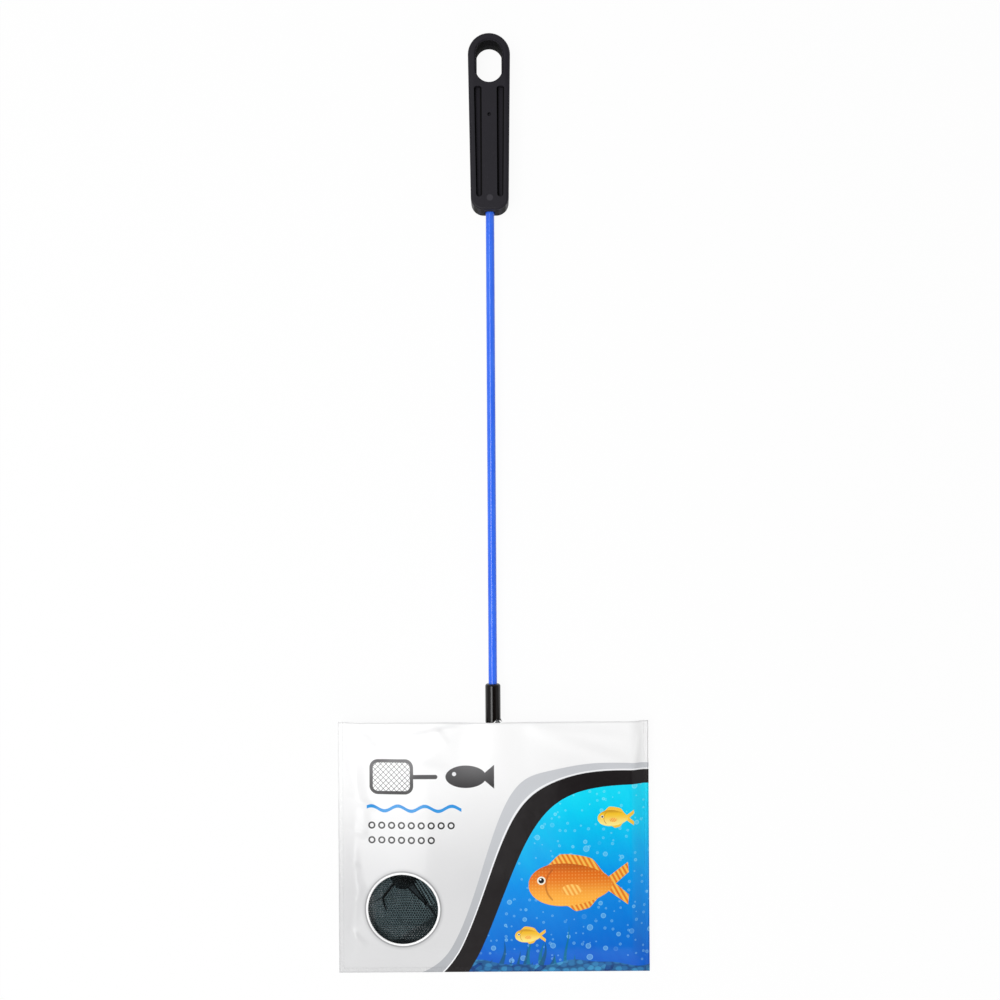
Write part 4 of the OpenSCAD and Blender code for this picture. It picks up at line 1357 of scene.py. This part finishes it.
spin = Recipe("spin", Radius="Float", Smoothness="Int", Sides="Int", Material="Material")
path = spin.add("GeometryNodeMeshToCurve", {}, {0: spin.given("Start")})
path = spin.add("GeometryNodeCurveSplineType", {"spline_type": "CATMULL_ROM"}, {0: path})
path = spin.add("GeometryNodeSetSplineResolution", {}, {0: path, "Resolution": spin.given("Smoothness")})
spin.result(spin.tube(path, spin.given("Sides"), spin.given("Radius")))


def path_mesh(*paths):
    """A mesh of bare edges from one or more lines of points."""
    mesh = bpy.data.meshes.new("path")
    points, edges = [], []
    for line in paths:
        edges += [(len(points) + i, len(points) + i + 1) for i in range(len(line) - 1)]
        points += [tuple(map(float, p)) for p in line]
    mesh.from_pydata(points, edges, [])
    return mesh


def offset(points, rights, distance, z):
    """A line beside another one, at a height."""
    return np.column_stack([points + rights * distance, np.full(len(points), z)])


def spun(name, lines, radius, smoothness, sides, material):
    """Thread of a radius in millimetres along each of the lines."""
    return spin.run(name, path_mesh(*lines), Radius=radius * mm, Smoothness=smoothness, Sides=sides,
                    Material=material)


print("sewing recipes:", len(sew.tree.nodes), "and", len(spin.tree.nodes), "nodes")

# %% Stitches on the hem
STITCH_IN = 2.65 * mm
stitch_rows = [offset(hoop_path, hoop_inward, STITCH_IN, MID_Z - deep * mm) for deep in (0.26, 1.0)]
stitch_mesh = sew.run("hem_stitches", path_mesh(*stitch_rows), Spacing=STITCH, Stitch=2.3 * mm,
                      Radius=0.17 * mm, Material=thread_finish)
hem_stitches = place("hem_stitches", stitch_mesh, None, "net", "seam_thread", "hem")
print("hem stitches:", len(stitch_mesh.polygons), "faces")

# %% [markdown]
# ## Seams
# From each gathered corner an overlocked seam runs in towards the far bar. It is a wedge of
# doubled netting that narrows to a cord, with thread looped over it, and a dark roll along each
# edge of its wide end. Beside it the netting is stretched: the mesh opens into rows of zigzag
# strands that fan out from the corner, and neighbouring rows zigzag in opposite steps. The far
# corner's seam is a mirror image, so one loop makes both.

# %% Seams
ON_PLY = PLY_Z + 0.35 * mm
SEAM_START = 3.9 * mm
SEAM_L = 29.0 * mm
LOOP_STEP = 0.9 * mm
ROLL_POINTS = 13
FAN_ROWS = 9
FAN_STEP = 1.15 * mm
FAN_L = 13 * mm
FAN_POINTS = 104


def seam_line(flip, count):
    """Points along the middle of a seam, which bends a little as sewn cloth does."""
    t = np.linspace(0, 1, count)
    run = SEAM_START + SEAM_L * t
    heading = np.array([-flip * math.cos(SEAM_ANGLE), -math.sin(SEAM_ANGLE)])
    bend = 0.35 * mm * np.sin(t * 7.0) * t
    side = np.array([-heading[1], heading[0]])
    centre = np.array([flip * GATHER[0], GATHER[1]])
    return centre + run[:, None] * heading + bend[:, None] * side


def wedge(run):
    """Half the seam's width, which is widest at the gathered corner."""
    return np.interp(run / mm, [0, 10.2, 29], [1.6, 0.35, 0.3]) * mm


def rounded(turn, power):
    """A wave between a circle's and a box's, for an outline with full corners."""
    return np.sign(turn) * np.abs(turn) ** power


def seam_band(name, flip):
    """The seam's doubled netting: a wedge with full corners and closed ends."""
    points = seam_line(flip, 56)
    length, rights = frame_along(points)
    ends = np.sqrt(np.clip(np.minimum(length, length[-1] - length) / (1.2 * mm), 0.0, 1))
    ends = np.maximum(ends, 0.05)[:, None]
    turn = np.linspace(0, 2 * np.pi, 22, endpoint=False)[None, :]
    wobble = 1 + 0.06 * np.sin(length / (0.55 * mm))[:, None]
    wide = wedge(length)[:, None] * rounded(np.cos(turn), 0.6) * wobble
    high = 0.3 * mm * rounded(np.sin(turn), 0.7)
    return sweep(name, points, rights, length, wide * ends, high * ends, ON_PLY + 0.5 * mm)


def fan_row(flip, number):
    """One zigzag strand beside a seam, from near the corner to past the window's edge."""
    along = np.linspace(0, 1, FAN_POINTS)
    angle = math.radians(61 - 1.5 * number)
    away = 3.0 * mm + FAN_STEP * number
    zigzag = 0.34 * mm * np.sin(along * 80 + number * np.pi) + 0.5 * mm * along**2
    x = GATHER[0] - away - FAN_L * along * math.cos(angle) + zigzag
    y = GATHER[1] - 2.8 * mm + away * 0.35 - FAN_L * along * math.sin(angle)
    return np.column_stack([flip * x, y, np.full(FAN_POINTS, ON_PLY + 0.42 * mm)])


for flip, side_name in ((-1, "seam_left"), (1, "seam_right")):
    count = int(SEAM_L / LOOP_STEP)
    middle_line = seam_line(flip, count)
    run, rights = frame_along(middle_line)
    half = wedge(run)[:, None]
    sides = np.where(np.arange(count) % 2 == 0, -1, 1)[:, None]
    loops = offset(middle_line, rights, sides * half, ON_PLY + 0.78 * mm)
    rolls = [offset(middle_line, rights, half * out, ON_PLY + 0.72 * mm)[:ROLL_POINTS] for out in (-1, 1)]
    rows = [fan_row(flip, number) for number in range(FAN_ROWS)]
    # Painted shade on the band and the rolls, and a painted highlight on the rows, through their finishes
    for part, mesh, material, slot in (
        ("_band", seam_band(side_name, flip), seam_finish, "netting"),
        ("_thread", spun(side_name + "_thread", [loops], 0.09, 2, 4, thread_finish), None, "seam_thread"),
        ("_rolls", spun(side_name + "_rolls", rolls, 0.33, 3, 6, fold_finish), None, "netting"),
        ("_rows", spun(side_name + "_rows", rows, 0.16, 2, 5, row_finish), None, "netting"),
    ):
        place(side_name + part, mesh, material, "net", slot, side_name)

# %% [markdown]
# ## Folds beside the seams
# Where the drawn-in netting doubles up, it stands on edge as a narrow dark fold. The window shows
# one that runs down from the knot and bends, and a faint one that leaves its bend. Each place
# below is in millimetres, with the fold's half width there.

# %% Folds beside the seams
FOLDS = [
    [(-44.0, -168.0, 0.5), (-46.4, -171.2, 0.4), (-49.7, -175.1, 0.46),
     (-49.3, -177.0, 0.34), (-48.3, -180.6, 0.12)],
    [(-49.7, -175.1, 0.16), (-52.4, -176.3, 0.1), (-55.7, -178.0, 0.05)],
]


def fold_band(name, flip, places):
    """A ridge of doubled netting along a few places, each with its half width."""
    places = np.array(places)
    steps = np.linspace(0, len(places) - 1, 60)
    x, y, half = (np.interp(steps, np.arange(len(places)), places[:, i]) * mm for i in range(3))
    points = np.column_stack([x * -flip, y + 0.1 * mm * np.sin(steps * 9)])
    length, rights = frame_along(points)
    turn = np.linspace(0, 2 * np.pi, 12, endpoint=False)[None, :]
    wide = half[:, None] * np.cos(turn) * (1 + 0.12 * np.sin(steps * 23))[:, None]
    high = (half[:, None] * 0.9 + 0.1 * mm) * np.sin(turn)
    return sweep(name, points, rights, length, wide, high, ON_PLY + 0.25 * mm)


for flip, side_name in ((-1, "folds_left"), (1, "folds_right")):
    for number, places in enumerate(FOLDS):
        name = f"{side_name}_{number}"
        # Painted shade: each fold is near black
        place(name, fold_band(name, flip, places), fold_finish, "net", "netting")
print("folds:", 2 * len(FOLDS))

# %% [markdown]
# ## Gathered corners
# The corner itself is netting drawn into a knot, with pleats that fan out of it, and a thread wound
# round the neck of the knot. Real pleats are many layers of netting, which would cost millions of
# triangles. One surface in rings stands for them: waves of two lengths make the pleats, both in
# how far they reach and in how high they stand. It is closed by a flat underside on the netting.

# %% Gathered corners
PLEAT_UV = (0.16, 0.24)


def knot_surface(flip, count=216, rings=26):
    """A fan of pleats round a knot: low at its rim, highest at a third of the way out."""
    turn = np.linspace(0, 2 * np.pi, count, endpoint=False)[None, :]
    out = np.linspace(0, 1, rings)[:, None]
    ruffle = np.sin(turn * 11 + 1.2 * np.sin(turn * 3 + out * 2)) * 0.7
    ruffle = ruffle + np.sin(turn * 23 + 2 * np.sin(turn * 2)) * 0.3
    reach = (6.0 + 0.35 * np.sin(5 * turn + 1) + 0.35 * ruffle) * mm
    grow = smooth(out / 0.25)
    body = (0.35 + 2.0 * bell((out - 0.3) / 0.42)) * smooth((1.0 - out) / 0.12)
    height = body * (0.72 + 0.26 * ruffle * grow) * mm + 0.35 * mm * bell(out / 0.16)
    x, y = 1.06 * reach * out * np.cos(turn), 0.84 * reach * out * np.sin(turn)
    return flip * (GATHER[0] + x), GATHER[1] + y, ON_PLY + height


def knot_mesh(name, flip):
    """The pleats' surface with a flat underside, and a UV map by pleat and ring."""
    x, y, z = knot_surface(flip)
    rings, count = x.shape
    total = rings * count
    top = np.column_stack([x.ravel(), y.ravel(), z.ravel()])
    under = top * [1, 1, 0] + [0, 0, ON_PLY - 0.1 * mm]
    faces = grid_faces(rings, count + 1)
    faces = faces // (count + 1) * count + faces % (count + 1) % count
    rim = total - count + np.arange(count)
    after = np.roll(rim, -1)
    walls = np.stack([rim, rim + total, after + total, after], 1)
    # The mirrored corner runs round the other way, so either its faces or its walls are turned.
    faces, walls = (faces[:, ::-1], walls) if flip > 0 else (faces, walls[:, ::-1])
    sides = [faces, faces[:, ::-1] + total, walls]
    mesh = to_mesh(name, np.concatenate([top, under]), np.concatenate(sides))
    loops = np.empty(len(mesh.loops), dtype=np.int32)
    mesh.loops.foreach_get("vertex_index", loops)
    ring, spoke = np.divmod(loops % total, count)
    return add_uv(mesh, np.stack([spoke * PLEAT_UV[0], ring * PLEAT_UV[1]], -1))


for flip, side_name in ((-1, "gather_left"), (1, "gather_right")):
    mesh = knot_mesh(side_name, flip)
    # Painted shade: the pleats are near black, for the shade between the many layers they stand for
    place(side_name + "_bunch", mesh, pleat_finish, "net", "netting", side_name)
    climb = np.linspace(0, 1, 150)
    winds = 5 * 2 * np.pi * climb
    wind = np.column_stack([
        flip * GATHER[0] + (1.2 - 0.4 * climb) * mm * np.cos(winds),
        GATHER[1] + (1.0 - 0.4 * climb) * mm * np.sin(winds),
        ON_PLY + (1.75 + 0.4 * climb) * mm,
    ])
    mesh = spun(side_name + "_thread", [wind], 0.15, 2, 5, fold_finish)
    place(side_name + "_thread", mesh, None, "net", "seam_thread", side_name)
print("gathered corners in mm at", np.round(GATHER / mm, 1))

# %% [markdown]
# ## One cloth
# The three layers are one piece of netting. Last, its flat size is printed.

print("cloth declared:", [round(c / mm, 1) for c in CLOTH], "mm flat")
